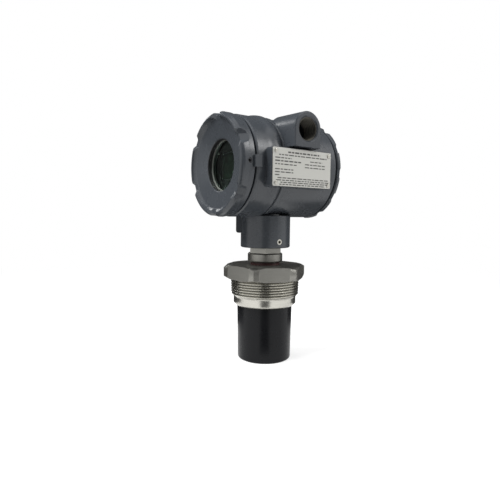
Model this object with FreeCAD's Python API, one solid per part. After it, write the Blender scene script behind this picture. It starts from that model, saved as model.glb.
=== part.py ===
import FreeCAD, Part
import math
import os

# Ultrasonic level transmitter. Millimetres, +Z up.
# The origin is on the axis of the process thread, at the underside of the hexagon.
# The window of the front cover faces -Y; the conduit entry and the nameplate face +X.

V = FreeCAD.Vector
ORIGIN = V(0, 0, 0)
UP = V(0, 0, 1)
FRONT = V(0, -1, 0)
REAR = V(0, 1, 0)
SIDE = V(1, 0, 0)

# Fits, all on the radius or between faces
THREAD_FIT = 0.10
SLIP_FIT = 0.06
SEAL_FIT = 0.05
BOND_GAP = 0.15
FREE_GAP = 0.30

# Process bushing: 2 inch taper pipe thread under a hexagon, plain collar below it
THREAD_RADIUS = 30.15
THREAD_LENGTH = 16.0
THREAD_LEAD = 0.9
RELIEF_RADIUS = 26.6
RELIEF_WIDTH = 0.6
COLLAR_RADIUS = 27.5
COLLAR_HEIGHT = 7.1
COLLAR_CHAMFER = 2.4
HEX_FLATS = 64.0
HEX_HEIGHT = 12.0
HEX_CORNER_DEG = 8.6
HEX_CHAMFER_RADIUS = 33.0

# Transducer: a drafted polymer cup whose spigot is bonded into the bushing
SHELL_TOP_RADIUS = 24.25
SHELL_FACE_RADIUS = 23.5
SHELL_LENGTH = 47.5
SHELL_EDGE_ROUND = 1.5
SHELL_SPIGOT_RADIUS = 21.0
SHELL_SPIGOT_LENGTH = 15.0
SHELL_GROOVE_WALL = 1.46
SHELL_FACE_THICKNESS = 3.0
SHELL_ORING_SECTION = 0.95
SHELL_ORING_BELOW_TOP = 5.0
MATCHING_THICKNESS = 4.0
PIEZO_THICKNESS = 8.0
DAMPING_WALL = 2.8
DAMPING_HEIGHT = 12.0
POTTING_BELOW_TOP = 4.0
LEAD_RADIUS = 2.4

# Nipple: turned from one bar, screwed into the bushing, spigot up into the neck
SEAL_HEIGHT = 2.6
SEAL_RADIUS = 12.8
NIPPLE_SHANK_RADIUS = 10.0
NIPPLE_SHANK_LENGTH = 16.0
NIPPLE_FLANGE_RADIUS = 15.3
NIPPLE_FLANGE_HEIGHT = 7.6
NIPPLE_FLANGE_CHAMFER = 0.9
NIPPLE_HEX_FLATS = 26.4
NIPPLE_HEX_HEIGHT = 4.8
NIPPLE_HEX_CORNER_DEG = 25.6
NIPPLE_SPIGOT_RADIUS = 12.0
NIPPLE_SPIGOT_LENGTH = 18.5
NIPPLE_BORE_RADIUS = 5.0
NIPPLE_GROOVE_DEPTH = 1.4
NIPPLE_GROOVE_WIDTH = 5.6
NIPPLE_ORING_SECTION = 0.9
NIPPLE_ORING_BELOW_TOP = 4.0

# Housing barrel; distances along it are measured forward from the neck axis
BARREL_AXIS_Z = 95.0
BARREL_RADIUS = 41.4
BARREL_EDGE = 1.0
FRONT_SHOULDER = 38.2
REAR_SHOULDER = 43.8
RIB_CENTRE = 10.75
RIB_WIDTH = 4.1
RIB_HEIGHT = 0.7
RIB_EDGE = 0.45
WAIST_DEPTH = 0.4
WAIST_WIDTH = 1.6
CROWN_HEIGHT = 1.4
CROWN_LENGTH = 10.0
CROWN_ROUND = 0.7
PARTITION_REAR = 8.0
PARTITION_THICKNESS = 4.0
CAVITY_RADIUS = 34.5
CAVITY_THROAT_LENGTH = 8.5
CAVITY_TAPER = 2.5
NECK_RADIUS = 21.65
NECK_BOTTOM_GAP = 0.2
NECK_EDGE_ROUND = 1.3
NECK_OVERLAP = 1.2
NECK_SHOULDER_ROUND = 0.6
NECK_STEM_RADIUS = 14.0
NECK_SCREW_DEG = -2.0
NECK_SCREW_RADIUS = 2.4
NECK_SCREW_SOCKET_FLATS = 2.4
NECK_SCREW_ABOVE_NECK = 5.4
PASSAGE_CLEARANCE = 1.0

# Cover threads: plain walls at the thread's outside, spigots stand out of both shoulders
COVER_THREAD_RADIUS = 36.0
COVER_THREAD_LEAD = 0.8
SPIGOT_BORE_RADIUS = 32.0
FRONT_SPIGOT_LENGTH = 6.8
REAR_SPIGOT_LENGTH = 5.2

# Conduit bosses, one on each side: arched section with draft, half inch pipe thread
CONDUIT_STAND_OUT = 10.1
CONDUIT_ROOT_X = 20.0
CONDUIT_SET_BACK = 2.0
CONDUIT_BELOW_TOP = 14.8
CONDUIT_HALF_WIDTH = 13.4
CONDUIT_FOOT_DROP = 14.0
CONDUIT_DRAFT_DEG = 2.5
CONDUIT_BORE_RADIUS = 9.2
CONDUIT_MOUTH_CHAMFER = 0.9
CONDUIT_EDGE = 0.8
PLUG_LENGTH = 13.0
PLUG_RECESS = 1.0
PLUG_SOCKET_FLATS = 10.0
PLUG_SOCKET_DEPTH = 6.0

# Nameplate and its pad
PLATE_LENGTH = 58.8
PLATE_HEIGHT = 28.6
PLATE_THICKNESS = 0.8
PLATE_BELOW_BOSS = 2.0
PLATE_CORNER = 1.0
PAD_STAND_OUT = 6.3
PAD_ROOT_X = 26.0
PAD_LENGTH = 60.0
PAD_HEIGHT = 29.6
PAD_CORNER = 2.2
DRIVE_SCREW_INSET = 2.6
DRIVE_SCREW_HEAD_RADIUS = 1.5
DRIVE_SCREW_HEAD_HEIGHT = 0.8
DRIVE_SCREW_SHANK_RADIUS = 0.9
DRIVE_SCREW_SHANK_LENGTH = 4.0

# Lock lug that reaches over the front cover's band, and the earth lug beside the neck
LOCK_LUG_HALF_WIDTH = 4.4
LOCK_LUG_LENGTH = 10.2
LOCK_LUG_RAMP = 4.0
LOCK_LUG_THICKNESS = 1.5
LOCK_LUG_END_GAP = 3.5
LUG_DIRECTION_DEG = 235.6
LUG_STAND_OUT = 4.15
LUG_THICKNESS = 9.0
LUG_BOTTOM_Z = 39.6
LUG_ROUND = 2.2
EARTH_SCREW_Z = 47.0
EARTH_SCREW_SHANK_RADIUS = 1.2
EARTH_SCREW_HEAD_RADIUS = 2.0
EARTH_SCREW_HEAD_HEIGHT = 1.8
EARTH_SCREW_SHANK_LENGTH = 7.0
EARTH_WASHER_RADIUS = 2.2
EARTH_WASHER_THICKNESS = 1.0

# Front cover: a round cap with a dished face; scoops in its rim leave the gripping lobes
LOBE_COUNT = 6
LOBE_PHASE_DEG = -4.0
SCOOP_FLOOR_WIDTH = 5.6
SCOOP_MOUTH_WIDTH = 15.6
SCOOP_EDGE_INSET = 2.7
SCOOP_RUN_OUT = 43.0
SCOOP_STEP = 0.15
SCOOP_LIFT = 2.2
COVER_SKIRT_WALL = 5.6
COVER_EDGE = 0.8
COVER_GAP = 1.3
BAND_DEPTH = 0.7
BAND_LENGTH = 5.3
FACE_FORWARD = 46.5
DISH_INSET = 6.8
DISH_RISE = 3.0
CREST_RISE = 6.3
CREST_INSET = 3.4
CREST_WIDTH = 1.2
CREST_DROP = 4.3
CREST_BULGE = 0.75
CREST_HOLLOW = 0.5
WINDOW_RADIUS = 20.9
WINDOW_WALL = 4.0
WINDOW_CHAMFER = 0.5
HUB_CLEARANCE = 1.0
HUB_WALL = 3.4
HUB_LENGTH = 9.4
GASKET_THICKNESS = 1.0
GASKET_LIP = 0.9
GLASS_THICKNESS = 5.0
RING_THICKNESS = 3.2
RING_WIDTH = 3.4
COVER_ORING_SECTION = 1.05
COVER_ORING_WIDTH = 2.5
COVER_ORING_FROM_EDGE = 0.9
LOCK_SCREW_FORWARD = 45.0
LOCK_SCREW_RADIUS = 2.0
LOCK_SCREW_SOCKET_FLATS = 2.0
SCREW_RECESS = 0.25

# Rear cover: a blind cap with the same scoops in its rim
REAR_SKIRT_WALL = 6.0
REAR_LOBE_COUNT = 12
REAR_LOBE_PHASE_DEG = -10.0
REAR_SCOOP_FLOOR_WIDTH = 6.0
REAR_SCOOP_MOUTH_WIDTH = 13.5
REAR_SCOOP_INSET = 4.0
REAR_SCOOP_RUN_OUT = 2.0
REAR_COVER_GAP = 1.0
REAR_RIM_DEPTH = 3.2
REAR_CAP_DEPTH = 8.0
REAR_CAP_INSET = 8.0
REAR_CAP_LAND = 7.2
REAR_DISH_DEPTH = 1.6

# Electronics, stacked forward from the partition
MODULE_RADIUS = 31.0
MODULE_THICKNESS = 11.0
MODULE_CHAMFER = 1.2
BOSS_RADIUS = 3.2
BOSS_HEIGHT = 2.6
POST_CIRCLE_RADIUS = 27.0
POST_ANGLES_DEG = (30.0, 150.0, 270.0)
BOARD_RADIUS = 31.0
BOARD_THICKNESS = 1.6
LCD_LENGTH = 39.4
LCD_HEIGHT = 28.0
LCD_THICKNESS = 2.8
LCD_ABOVE_AXIS = 1.0
BEZEL_RADIUS = 31.0
BEZEL_THICKNESS = 1.6
BEZEL_WINDOW_LENGTH = 38.0
BEZEL_WINDOW_HEIGHT = 22.8
BEZEL_WINDOW_CORNER = 1.5
KEY_RADIUS = 2.9
KEY_PITCH = 9.0
KEY_BELOW_AXIS = 19.0
KEY_PROUD = 1.0
KEY_FLANGE_RADIUS = 3.7
KEY_FLANGE_THICKNESS = 0.9
KEY_TRAVEL = 0.5
KEY_END_GAP = 0.3
MODULE_SCREW_CIRCLE = 23.0
MODULE_SCREW_ANGLES_DEG = (90.0, 210.0, 330.0)
PAN_HEAD_RADIUS = 2.6
PAN_HEAD_HEIGHT = 1.3
PAN_SHANK_RADIUS = 1.4
PAN_SHANK_ENGAGED = 3.0

# Terminals behind the partition
FEEDTHROUGH_RADIUS = 6.0
BLOCK_LENGTH = 46.0
BLOCK_HEIGHT = 20.0
BLOCK_DEPTH = 13.0
BLOCK_BELOW_AXIS = 5.0
BLOCK_EDGE = 1.5
TERMINAL_COUNT = 3
TERMINAL_PITCH = 12.0
TERMINAL_SLOT_WIDTH = 9.0
TERMINAL_SLOT_DEPTH = 4.0
TERMINAL_SLOT_HEIGHT = 13.0
CLAMP_THICKNESS = 1.2
CLAMP_CLEARANCE = 0.5
TERMINAL_HEAD_RADIUS = 3.0
TERMINAL_HEAD_HEIGHT = 2.2
TERMINAL_SHANK_RADIUS = 1.7
TERMINAL_SHANK_LENGTH = 6.0
BLOCK_SCREW_OFFSET = 20.0
INNER_EARTH_OFFSET = 14.0
INNER_EARTH_BELOW_AXIS = 24.0

# Places worked out from the sizes above
COLLAR_BOTTOM = -(THREAD_LENGTH + RELIEF_WIDTH + COLLAR_HEIGHT)
SHELL_BOTTOM = COLLAR_BOTTOM - SHELL_LENGTH
SHELL_FLOOR = SHELL_BOTTOM + SHELL_FACE_THICKNESS
SHELL_ORING_CENTRE = SHELL_SPIGOT_RADIUS + SLIP_FIT - SEAL_FIT - SHELL_ORING_SECTION
SHELL_GROOVE_RADIUS = SHELL_ORING_CENTRE - SHELL_ORING_SECTION - SEAL_FIT
SHELL_CAVITY_RADIUS = SHELL_GROOVE_RADIUS - SHELL_GROOVE_WALL
SHELL_TOP = COLLAR_BOTTOM + SHELL_SPIGOT_LENGTH
POTTING_TOP = SHELL_TOP - POTTING_BELOW_TOP
STACK_RADIUS = SHELL_CAVITY_RADIUS - BOND_GAP
PIEZO_RADIUS = STACK_RADIUS - DAMPING_WALL - BOND_GAP
MATCHING_TOP = SHELL_FLOOR + MATCHING_THICKNESS
PIEZO_TOP = MATCHING_TOP + PIEZO_THICKNESS
DAMPING_TOP = MATCHING_TOP + DAMPING_HEIGHT
SEAL_TOP = HEX_HEIGHT + SEAL_HEIGHT
FLANGE_TOP = SEAL_TOP + NIPPLE_FLANGE_HEIGHT
NIPPLE_HEX_TOP = FLANGE_TOP + NIPPLE_HEX_HEIGHT
NIPPLE_TOP = NIPPLE_HEX_TOP + NIPPLE_SPIGOT_LENGTH
NECK_BOTTOM = NIPPLE_HEX_TOP + NECK_BOTTOM_GAP
NECK_SCREW_Z = NECK_BOTTOM + NECK_SCREW_ABOVE_NECK
NECK_TOP = BARREL_AXIS_Z - BARREL_RADIUS + NECK_OVERLAP
NECK_BORE_TOP = NIPPLE_TOP + FREE_GAP
PASSAGE_RADIUS = LEAD_RADIUS + PASSAGE_CLEARANCE
FRONT_SPIGOT_END = FRONT_SHOULDER + FRONT_SPIGOT_LENGTH
REAR_SPIGOT_END = REAR_SHOULDER + REAR_SPIGOT_LENGTH
PARTITION_FRONT = PARTITION_REAR + PARTITION_THICKNESS
COVER_RADIUS = COVER_THREAD_RADIUS + COVER_SKIRT_WALL
SCOOP_EDGE_RADIUS = COVER_RADIUS - SCOOP_EDGE_INSET
DISH_RADIUS = COVER_RADIUS - DISH_INSET
CREST_INNER_RADIUS = COVER_RADIUS - CREST_INSET
REAR_COVER_RADIUS = COVER_THREAD_RADIUS + REAR_SKIRT_WALL
REAR_SCOOP_RADIUS = REAR_COVER_RADIUS - REAR_SCOOP_INSET
REAR_CAP_RADIUS = REAR_COVER_RADIUS - REAR_CAP_INSET
REAR_DISH_RADIUS = REAR_CAP_RADIUS - REAR_CAP_LAND
COVER_EDGE_FORWARD = FRONT_SHOULDER + COVER_GAP
BAND_END = COVER_EDGE_FORWARD + BAND_LENGTH
BAND_RADIUS = COVER_RADIUS - BAND_DEPTH
LOCK_LUG_FRONT = BAND_END - LOCK_LUG_END_GAP
REAR_EDGE_BACK = REAR_SHOULDER + REAR_COVER_GAP
CREST_FORWARD = FACE_FORWARD + CREST_RISE
WINDOW_FLOOR = FACE_FORWARD - WINDOW_WALL
GLASS_FRONT = WINDOW_FLOOR - GASKET_THICKNESS
GLASS_REAR = GLASS_FRONT - GLASS_THICKNESS
HUB_RADIUS = SPIGOT_BORE_RADIUS - HUB_CLEARANCE
HUB_BORE_RADIUS = HUB_RADIUS - HUB_WALL
MODULE_FRONT = PARTITION_FRONT + MODULE_THICKNESS
BOARD_REAR = MODULE_FRONT + BOSS_HEIGHT
BOARD_FRONT = BOARD_REAR + BOARD_THICKNESS
BEZEL_REAR = BOARD_FRONT + LCD_THICKNESS
BEZEL_FRONT = BEZEL_REAR + BEZEL_THICKNESS
BLOCK_FACE = BLOCK_DEPTH - PARTITION_REAR
CONDUIT_FACE_X = BARREL_RADIUS + CONDUIT_STAND_OUT
CONDUIT_Z = BARREL_AXIS_Z + BARREL_RADIUS - CONDUIT_BELOW_TOP
CONDUIT_FOOT_Z = CONDUIT_Z - CONDUIT_FOOT_DROP
PLATE_Z = CONDUIT_FOOT_Z - PLATE_BELOW_BOSS - PLATE_HEIGHT / 2
PAD_FACE_X = BARREL_RADIUS + PAD_STAND_OUT
PLATE_FACE_X = PAD_FACE_X + PLATE_THICKNESS
LUG_REACH = NECK_RADIUS + LUG_STAND_OUT


def placed(shape, base, axis):
    """Turn a shape that was made along +Z so that it runs along axis from base."""
    turn = FreeCAD.Placement(base, FreeCAD.Rotation(UP, axis))
    shape.Placement = turn.multiply(shape.Placement)
    return shape


def in_barrel(shape):
    """Place a shape made with x to the side, y up and z forward, about the barrel's axis."""
    return placed(shape, V(0, 0, BARREL_AXIS_Z), FRONT)


def in_barrel_rear(shape):
    """Place a shape made with z rearward about the barrel's axis."""
    return placed(shape, V(0, 0, BARREL_AXIS_Z), REAR)


def rod(radius, start, end):
    """Round bar along Z."""
    return Part.makeCylinder(radius, end - start, V(0, 0, start))


def tube(outer, inner, start, end):
    """Round sleeve along Z."""
    return rod(outer, start, end).cut(rod(inner, start, end))


def quarter(start, end, centre):
    """Arc entry of an outline: the point half way round, then the end."""
    radius = math.dist(start, centre)
    aim = ((start[0] + end[0]) / 2 - centre[0], (start[1] + end[1]) / 2 - centre[1])
    reach = math.hypot(*aim)
    middle = (centre[0] + aim[0] * radius / reach, centre[1] + aim[1] * radius / reach)
    return middle, end


def profile(points):
    """Face in the XZ plane; an entry that holds two points is an arc through the first."""
    here = V(points[0][0], 0, points[0][1])
    first = here
    edges = []
    for entry in points[1:]:
        if isinstance(entry[0], tuple):
            middle, end = (V(r, 0, h) for r, h in entry)
            edges.append(Part.Arc(here, middle, end).toShape())
        else:
            end = V(entry[0], 0, entry[1])
            edges.append(Part.LineSegment(here, end).toShape())
        here = end
    edges.append(Part.LineSegment(here, first).toShape())
    return Part.Face(Part.Wire(edges))


def turned(points, sweep_deg=360.0):
    """Revolve an outline of (radius, height) points about Z."""
    return profile(points).revolve(ORIGIN, UP, sweep_deg)


def hex_bar(flats, height, corner_deg=0.0):
    """Hexagonal bar along Z."""
    radius = flats / math.sqrt(3)
    angles = [math.radians(corner_deg + 60 * k) for k in range(7)]
    corners = [V(radius * math.cos(a), radius * math.sin(a), 0) for a in angles]
    return Part.Face(Part.makePolygon(corners)).extrude(V(0, 0, height))


def chamfered_hex(flats, height, corner_deg, chamfer_radius):
    """Hexagonal bar whose corners are turned back at 30 degrees at both ends."""
    corner_radius = flats / math.sqrt(3)
    drop = (corner_radius - chamfer_radius) * math.tan(math.radians(30))
    turning = turned([
        (0, 0), (chamfer_radius, 0), (corner_radius, drop),
        (corner_radius, height - drop), (chamfer_radius, height), (0, height),
    ])
    return hex_bar(flats, height, corner_deg).common(turning)


def ring_seal(centre_radius, section_radius, height):
    """O-ring about Z."""
    return Part.makeTorus(centre_radius, section_radius, V(0, 0, height), UP)


def set_screw(radius, length, socket_flats):
    """Headless screw along Z with its hexagon socket in the top end."""
    socket = hex_bar(socket_flats, length / 2)
    socket.translate(V(0, 0, length / 2))
    return rod(radius, 0, length).cut(socket)


def pan_screw(head_radius, head_height, shank_radius, shank_length):
    """Screw along Z with a domed head above the XY plane."""
    crown = head_radius * 0.6
    head = turned([
        (0, 0), (head_radius, 0), (head_radius, head_height / 2),
        ((head_radius * 0.88, head_height * 0.86), (crown, head_height)), (0, head_height),
    ])
    return head.fuse(rod(shank_radius, -shank_length, 0))


def rounded_block(size_x, size_y, size_z, corner):
    """Block centred on Z from the XY plane up, with its four upright edges rounded."""
    block = Part.makeBox(size_x, size_y, size_z, V(-size_x / 2, -size_y / 2, 0))
    upright = [e for e in block.Edges if abs(e.tangentAt(e.FirstParameter).z) > 0.9]
    return block.makeFillet(corner, upright)


def polar(radius, angle_deg, height=0.0):
    """Point at an angle about Z."""
    angle = math.radians(angle_deg)
    return V(radius * math.cos(angle), radius * math.sin(angle), height)


def moved(shape, offset):
    """Copy of a shape, shifted."""
    copy = shape.copy()
    copy.translate(offset)
    return copy


def group(shapes):
    """Several separate solids in one node."""
    return Part.makeCompound(shapes)


def process_bushing():
    lower = turned([
        (0, 0), (THREAD_RADIUS, 0), (THREAD_RADIUS, THREAD_LEAD - THREAD_LENGTH),
        (THREAD_RADIUS - THREAD_LEAD, -THREAD_LENGTH), (RELIEF_RADIUS, -THREAD_LENGTH),
        (RELIEF_RADIUS, -THREAD_LENGTH - RELIEF_WIDTH), (COLLAR_RADIUS, -THREAD_LENGTH - RELIEF_WIDTH),
        (COLLAR_RADIUS, COLLAR_BOTTOM + COLLAR_CHAMFER),
        (COLLAR_RADIUS - COLLAR_CHAMFER, COLLAR_BOTTOM), (0, COLLAR_BOTTOM),
    ])
    hexagon = chamfered_hex(HEX_FLATS, HEX_HEIGHT, HEX_CORNER_DEG, HEX_CHAMFER_RADIUS)
    pocket = rod(SHELL_SPIGOT_RADIUS + SLIP_FIT, COLLAR_BOTTOM, SHELL_TOP + FREE_GAP)
    throat = rod(NIPPLE_SHANK_RADIUS + THREAD_FIT, SHELL_TOP, HEX_HEIGHT)
    return lower.fuse(hexagon).cut(pocket).cut(throat)


def transducer_shell():
    edge = SHELL_EDGE_ROUND
    middle = SHELL_TOP - SHELL_ORING_BELOW_TOP
    half = SHELL_ORING_SECTION + SEAL_FIT
    corner = (SHELL_FACE_RADIUS, SHELL_BOTTOM + edge)
    return turned([
        (0, SHELL_BOTTOM), (SHELL_FACE_RADIUS - edge, SHELL_BOTTOM),
        quarter((SHELL_FACE_RADIUS - edge, SHELL_BOTTOM), corner,
                (SHELL_FACE_RADIUS - edge, SHELL_BOTTOM + edge)),
        (SHELL_TOP_RADIUS, COLLAR_BOTTOM), (SHELL_SPIGOT_RADIUS, COLLAR_BOTTOM),
        (SHELL_SPIGOT_RADIUS, middle - half), (SHELL_GROOVE_RADIUS, middle - half),
        (SHELL_GROOVE_RADIUS, middle + half), (SHELL_SPIGOT_RADIUS, middle + half),
        (SHELL_SPIGOT_RADIUS, SHELL_TOP), (SHELL_CAVITY_RADIUS, SHELL_TOP),
        (SHELL_CAVITY_RADIUS, SHELL_FLOOR), (0, SHELL_FLOOR),
    ])


def shell_oring():
    return ring_seal(SHELL_ORING_CENTRE, SHELL_ORING_SECTION, SHELL_TOP - SHELL_ORING_BELOW_TOP)


def matching_disc():
    return rod(STACK_RADIUS, SHELL_FLOOR, MATCHING_TOP)


def piezo_disc():
    return rod(PIEZO_RADIUS, MATCHING_TOP, PIEZO_TOP)


def damping_sleeve():
    return tube(STACK_RADIUS, PIEZO_RADIUS + BOND_GAP, MATCHING_TOP, DAMPING_TOP)


def potting():
    return turned([
        (0, PIEZO_TOP), (PIEZO_RADIUS, PIEZO_TOP), (PIEZO_RADIUS, DAMPING_TOP),
        (STACK_RADIUS, DAMPING_TOP), (STACK_RADIUS, POTTING_TOP), (0, POTTING_TOP),
    ])


def transducer_lead():
    return rod(LEAD_RADIUS, POTTING_TOP, NIPPLE_TOP)


def bushing_seal():
    return tube(SEAL_RADIUS, NIPPLE_SHANK_RADIUS + SLIP_FIT, HEX_HEIGHT, SEAL_TOP)


def nipple_groove():
    """Middle height, floor radius and centre radius of the nipple's O-ring groove."""
    middle = NIPPLE_TOP - NIPPLE_ORING_BELOW_TOP
    centre = NIPPLE_SPIGOT_RADIUS - NIPPLE_ORING_SECTION
    return middle, centre - NIPPLE_ORING_SECTION - SEAL_FIT, centre


def hex_nipple():
    chamfer = NIPPLE_FLANGE_CHAMFER
    flange = NIPPLE_FLANGE_RADIUS
    middle, floor_radius, _ = nipple_groove()
    half = NIPPLE_ORING_SECTION + SEAL_FIT
    screw_floor = NIPPLE_SPIGOT_RADIUS - NIPPLE_GROOVE_DEPTH
    screw_half = NIPPLE_GROOVE_WIDTH / 2
    spindle = turned([
        (0, SEAL_TOP - NIPPLE_SHANK_LENGTH), (NIPPLE_SHANK_RADIUS, SEAL_TOP - NIPPLE_SHANK_LENGTH),
        (NIPPLE_SHANK_RADIUS, SEAL_TOP), (flange - chamfer, SEAL_TOP), (flange, SEAL_TOP + chamfer),
        (flange, FLANGE_TOP - chamfer), (flange - chamfer, FLANGE_TOP), (NIPPLE_SPIGOT_RADIUS, FLANGE_TOP),
        (NIPPLE_SPIGOT_RADIUS, NECK_SCREW_Z - screw_half), (screw_floor, NECK_SCREW_Z - screw_half),
        (screw_floor, NECK_SCREW_Z + screw_half), (NIPPLE_SPIGOT_RADIUS, NECK_SCREW_Z + screw_half),
        (NIPPLE_SPIGOT_RADIUS, middle - half), (floor_radius, middle - half),
        (floor_radius, middle + half), (NIPPLE_SPIGOT_RADIUS, middle + half),
        (NIPPLE_SPIGOT_RADIUS, NIPPLE_TOP), (0, NIPPLE_TOP),
    ])
    hexagon = hex_bar(NIPPLE_HEX_FLATS, NIPPLE_HEX_HEIGHT, NIPPLE_HEX_CORNER_DEG)
    hexagon.translate(V(0, 0, FLANGE_TOP))
    bore = rod(NIPPLE_BORE_RADIUS, SEAL_TOP - NIPPLE_SHANK_LENGTH, NIPPLE_TOP)
    return spindle.fuse(hexagon).cut(bore)


def nipple_oring():
    middle, _, centre = nipple_groove()
    return ring_seal(centre, NIPPLE_ORING_SECTION, middle)


def barrel():
    """Outside of the barrel with both spigots: crown, waist and rib come from one outline."""
    edge = BARREL_EDGE
    lead = COVER_THREAD_LEAD
    waist = BARREL_RADIUS - WAIST_DEPTH
    crown = BARREL_RADIUS + CROWN_HEIGHT
    rib = BARREL_RADIUS + RIB_HEIGHT
    rib_rear = RIB_CENTRE - RIB_WIDTH / 2
    rib_front = RIB_CENTRE + RIB_WIDTH / 2
    waist_front = rib_front + WAIST_WIDTH
    shoulder_rise = crown - waist
    crown_rear = waist_front + shoulder_rise
    crown_front = crown_rear + CROWN_ROUND
    bend = CROWN_LENGTH / 2
    half_drop = CROWN_HEIGHT / 2
    quarter_drop = CROWN_HEIGHT / 8
    return turned([
        (0, -REAR_SPIGOT_END), (COVER_THREAD_RADIUS - lead, -REAR_SPIGOT_END),
        (COVER_THREAD_RADIUS, lead - REAR_SPIGOT_END), (COVER_THREAD_RADIUS, -REAR_SHOULDER),
        (BARREL_RADIUS - edge, -REAR_SHOULDER), (BARREL_RADIUS, edge - REAR_SHOULDER),
        (BARREL_RADIUS, rib_rear), (rib - RIB_EDGE, rib_rear), (rib, rib_rear + RIB_EDGE),
        (rib, rib_front - RIB_EDGE), (rib - RIB_EDGE, rib_front), (waist, rib_front),
        (waist, waist_front),
        quarter((waist, waist_front), (crown, crown_rear), (waist, crown_rear)),
        (crown, crown_front),
        ((crown - quarter_drop, crown_front + bend / 2), (crown - half_drop, crown_front + bend)),
        ((BARREL_RADIUS + quarter_drop, crown_front + bend * 1.5), (BARREL_RADIUS, crown_front + bend * 2)),
        (BARREL_RADIUS, FRONT_SHOULDER - edge), (BARREL_RADIUS - edge, FRONT_SHOULDER),
        (COVER_THREAD_RADIUS, FRONT_SHOULDER), (COVER_THREAD_RADIUS, FRONT_SPIGOT_END - lead),
        (COVER_THREAD_RADIUS - lead, FRONT_SPIGOT_END), (0, FRONT_SPIGOT_END),
    ])


def compartment(floor, mouth):
    """Room inside the barrel from its floor at the partition to its narrower mouth."""
    way = math.copysign(1.0, mouth - floor)
    throat = mouth - way * CAVITY_THROAT_LENGTH
    return turned([
        (0, floor), (CAVITY_RADIUS, floor), (CAVITY_RADIUS, throat - way * CAVITY_TAPER),
        (SPIGOT_BORE_RADIUS, throat), (SPIGOT_BORE_RADIUS, mouth), (0, mouth),
    ])


def neck():
    """Round neck with a flat shoulder under the barrel, and the stem that joins the two."""
    edge = NECK_EDGE_ROUND
    lip = NECK_SHOULDER_ROUND
    stem_top = BARREL_AXIS_Z - CAVITY_RADIUS
    foot = (NECK_RADIUS - edge, NECK_BOTTOM)
    wall_top = (NECK_RADIUS, NECK_TOP - lip)
    shoulder = (NECK_RADIUS - lip, NECK_TOP)
    return turned([
        (0, NECK_BOTTOM), foot,
        quarter(foot, (NECK_RADIUS, NECK_BOTTOM + edge), (NECK_RADIUS - edge, NECK_BOTTOM + edge)),
        wall_top, quarter(wall_top, shoulder, (NECK_RADIUS - lip, NECK_TOP - lip)),
        (NECK_STEM_RADIUS, NECK_TOP), (NECK_STEM_RADIUS, stem_top), (0, stem_top),
    ])


def arch(x, half_width):
    """Conduit boss section at a distance from the neck axis: flat foot, upright sides, round top."""
    left, right = CONDUIT_SET_BACK - half_width, CONDUIT_SET_BACK + half_width
    foot = [V(x, left, CONDUIT_FOOT_Z), V(x, right, CONDUIT_FOOT_Z)]
    spring = [V(x, left, CONDUIT_Z), V(x, right, CONDUIT_Z)]
    top = V(x, CONDUIT_SET_BACK, CONDUIT_Z + half_width)
    return Part.Wire([
        Part.LineSegment(foot[0], foot[1]).toShape(),
        Part.LineSegment(foot[1], spring[1]).toShape(),
        Part.Arc(spring[1], top, spring[0]).toShape(),
        Part.LineSegment(spring[0], foot[0]).toShape(),
    ])


def conduit_boss(side):
    """Drafted boss on one side, +1 for the entry in use and -1 for the plugged one."""
    draft = (CONDUIT_FACE_X - CONDUIT_ROOT_X) * math.tan(math.radians(CONDUIT_DRAFT_DEG))
    shoulder_x = CONDUIT_FACE_X - CONDUIT_EDGE
    body = Part.makeLoft([
        arch(side * CONDUIT_ROOT_X, CONDUIT_HALF_WIDTH + draft),
        arch(side * shoulder_x, CONDUIT_HALF_WIDTH),
    ], True, True)
    lip = Part.makeLoft([
        arch(side * shoulder_x, CONDUIT_HALF_WIDTH),
        arch(side * CONDUIT_FACE_X, CONDUIT_HALF_WIDTH - CONDUIT_EDGE),
    ], True, True)
    return body.fuse(lip)


def conduit_bore(side):
    """Tapped entry from the mouth of a boss into the terminal compartment, with its chamfer."""
    mouth = CONDUIT_FACE_X
    chamfer = CONDUIT_MOUTH_CHAMFER
    bore = turned([
        (0, CONDUIT_ROOT_X), (CONDUIT_BORE_RADIUS, CONDUIT_ROOT_X), (CONDUIT_BORE_RADIUS, mouth - chamfer),
        (CONDUIT_BORE_RADIUS + chamfer, mouth), (0, mouth),
    ])
    return placed(bore, V(0, CONDUIT_SET_BACK, CONDUIT_Z), SIDE * side)


def nameplate_pad():
    depth = PAD_FACE_X - PAD_ROOT_X
    pad = rounded_block(PAD_HEIGHT, PAD_LENGTH, depth, PAD_CORNER)
    return placed(pad, V(PAD_ROOT_X, 0, PLATE_Z), SIDE)


def lock_lug():
    """Lug on the barrel whose front end reaches over the cover's band, clear of it."""
    underside = BAND_RADIUS + FREE_GAP
    reach = underside + LOCK_LUG_THICKNESS
    root = COVER_THREAD_RADIUS
    rear = LOCK_LUG_FRONT - LOCK_LUG_LENGTH
    outline = profile([
        (root, rear), (underside, rear), (reach, rear + LOCK_LUG_RAMP), (reach, LOCK_LUG_FRONT),
        (root, LOCK_LUG_FRONT),
    ])
    outline.translate(V(0, -LOCK_LUG_HALF_WIDTH, 0))
    lug = outline.extrude(V(0, 2 * LOCK_LUG_HALF_WIDTH, 0))
    return in_barrel(lug.cut(rod(underside, FRONT_SHOULDER, LOCK_LUG_FRONT)))


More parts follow.
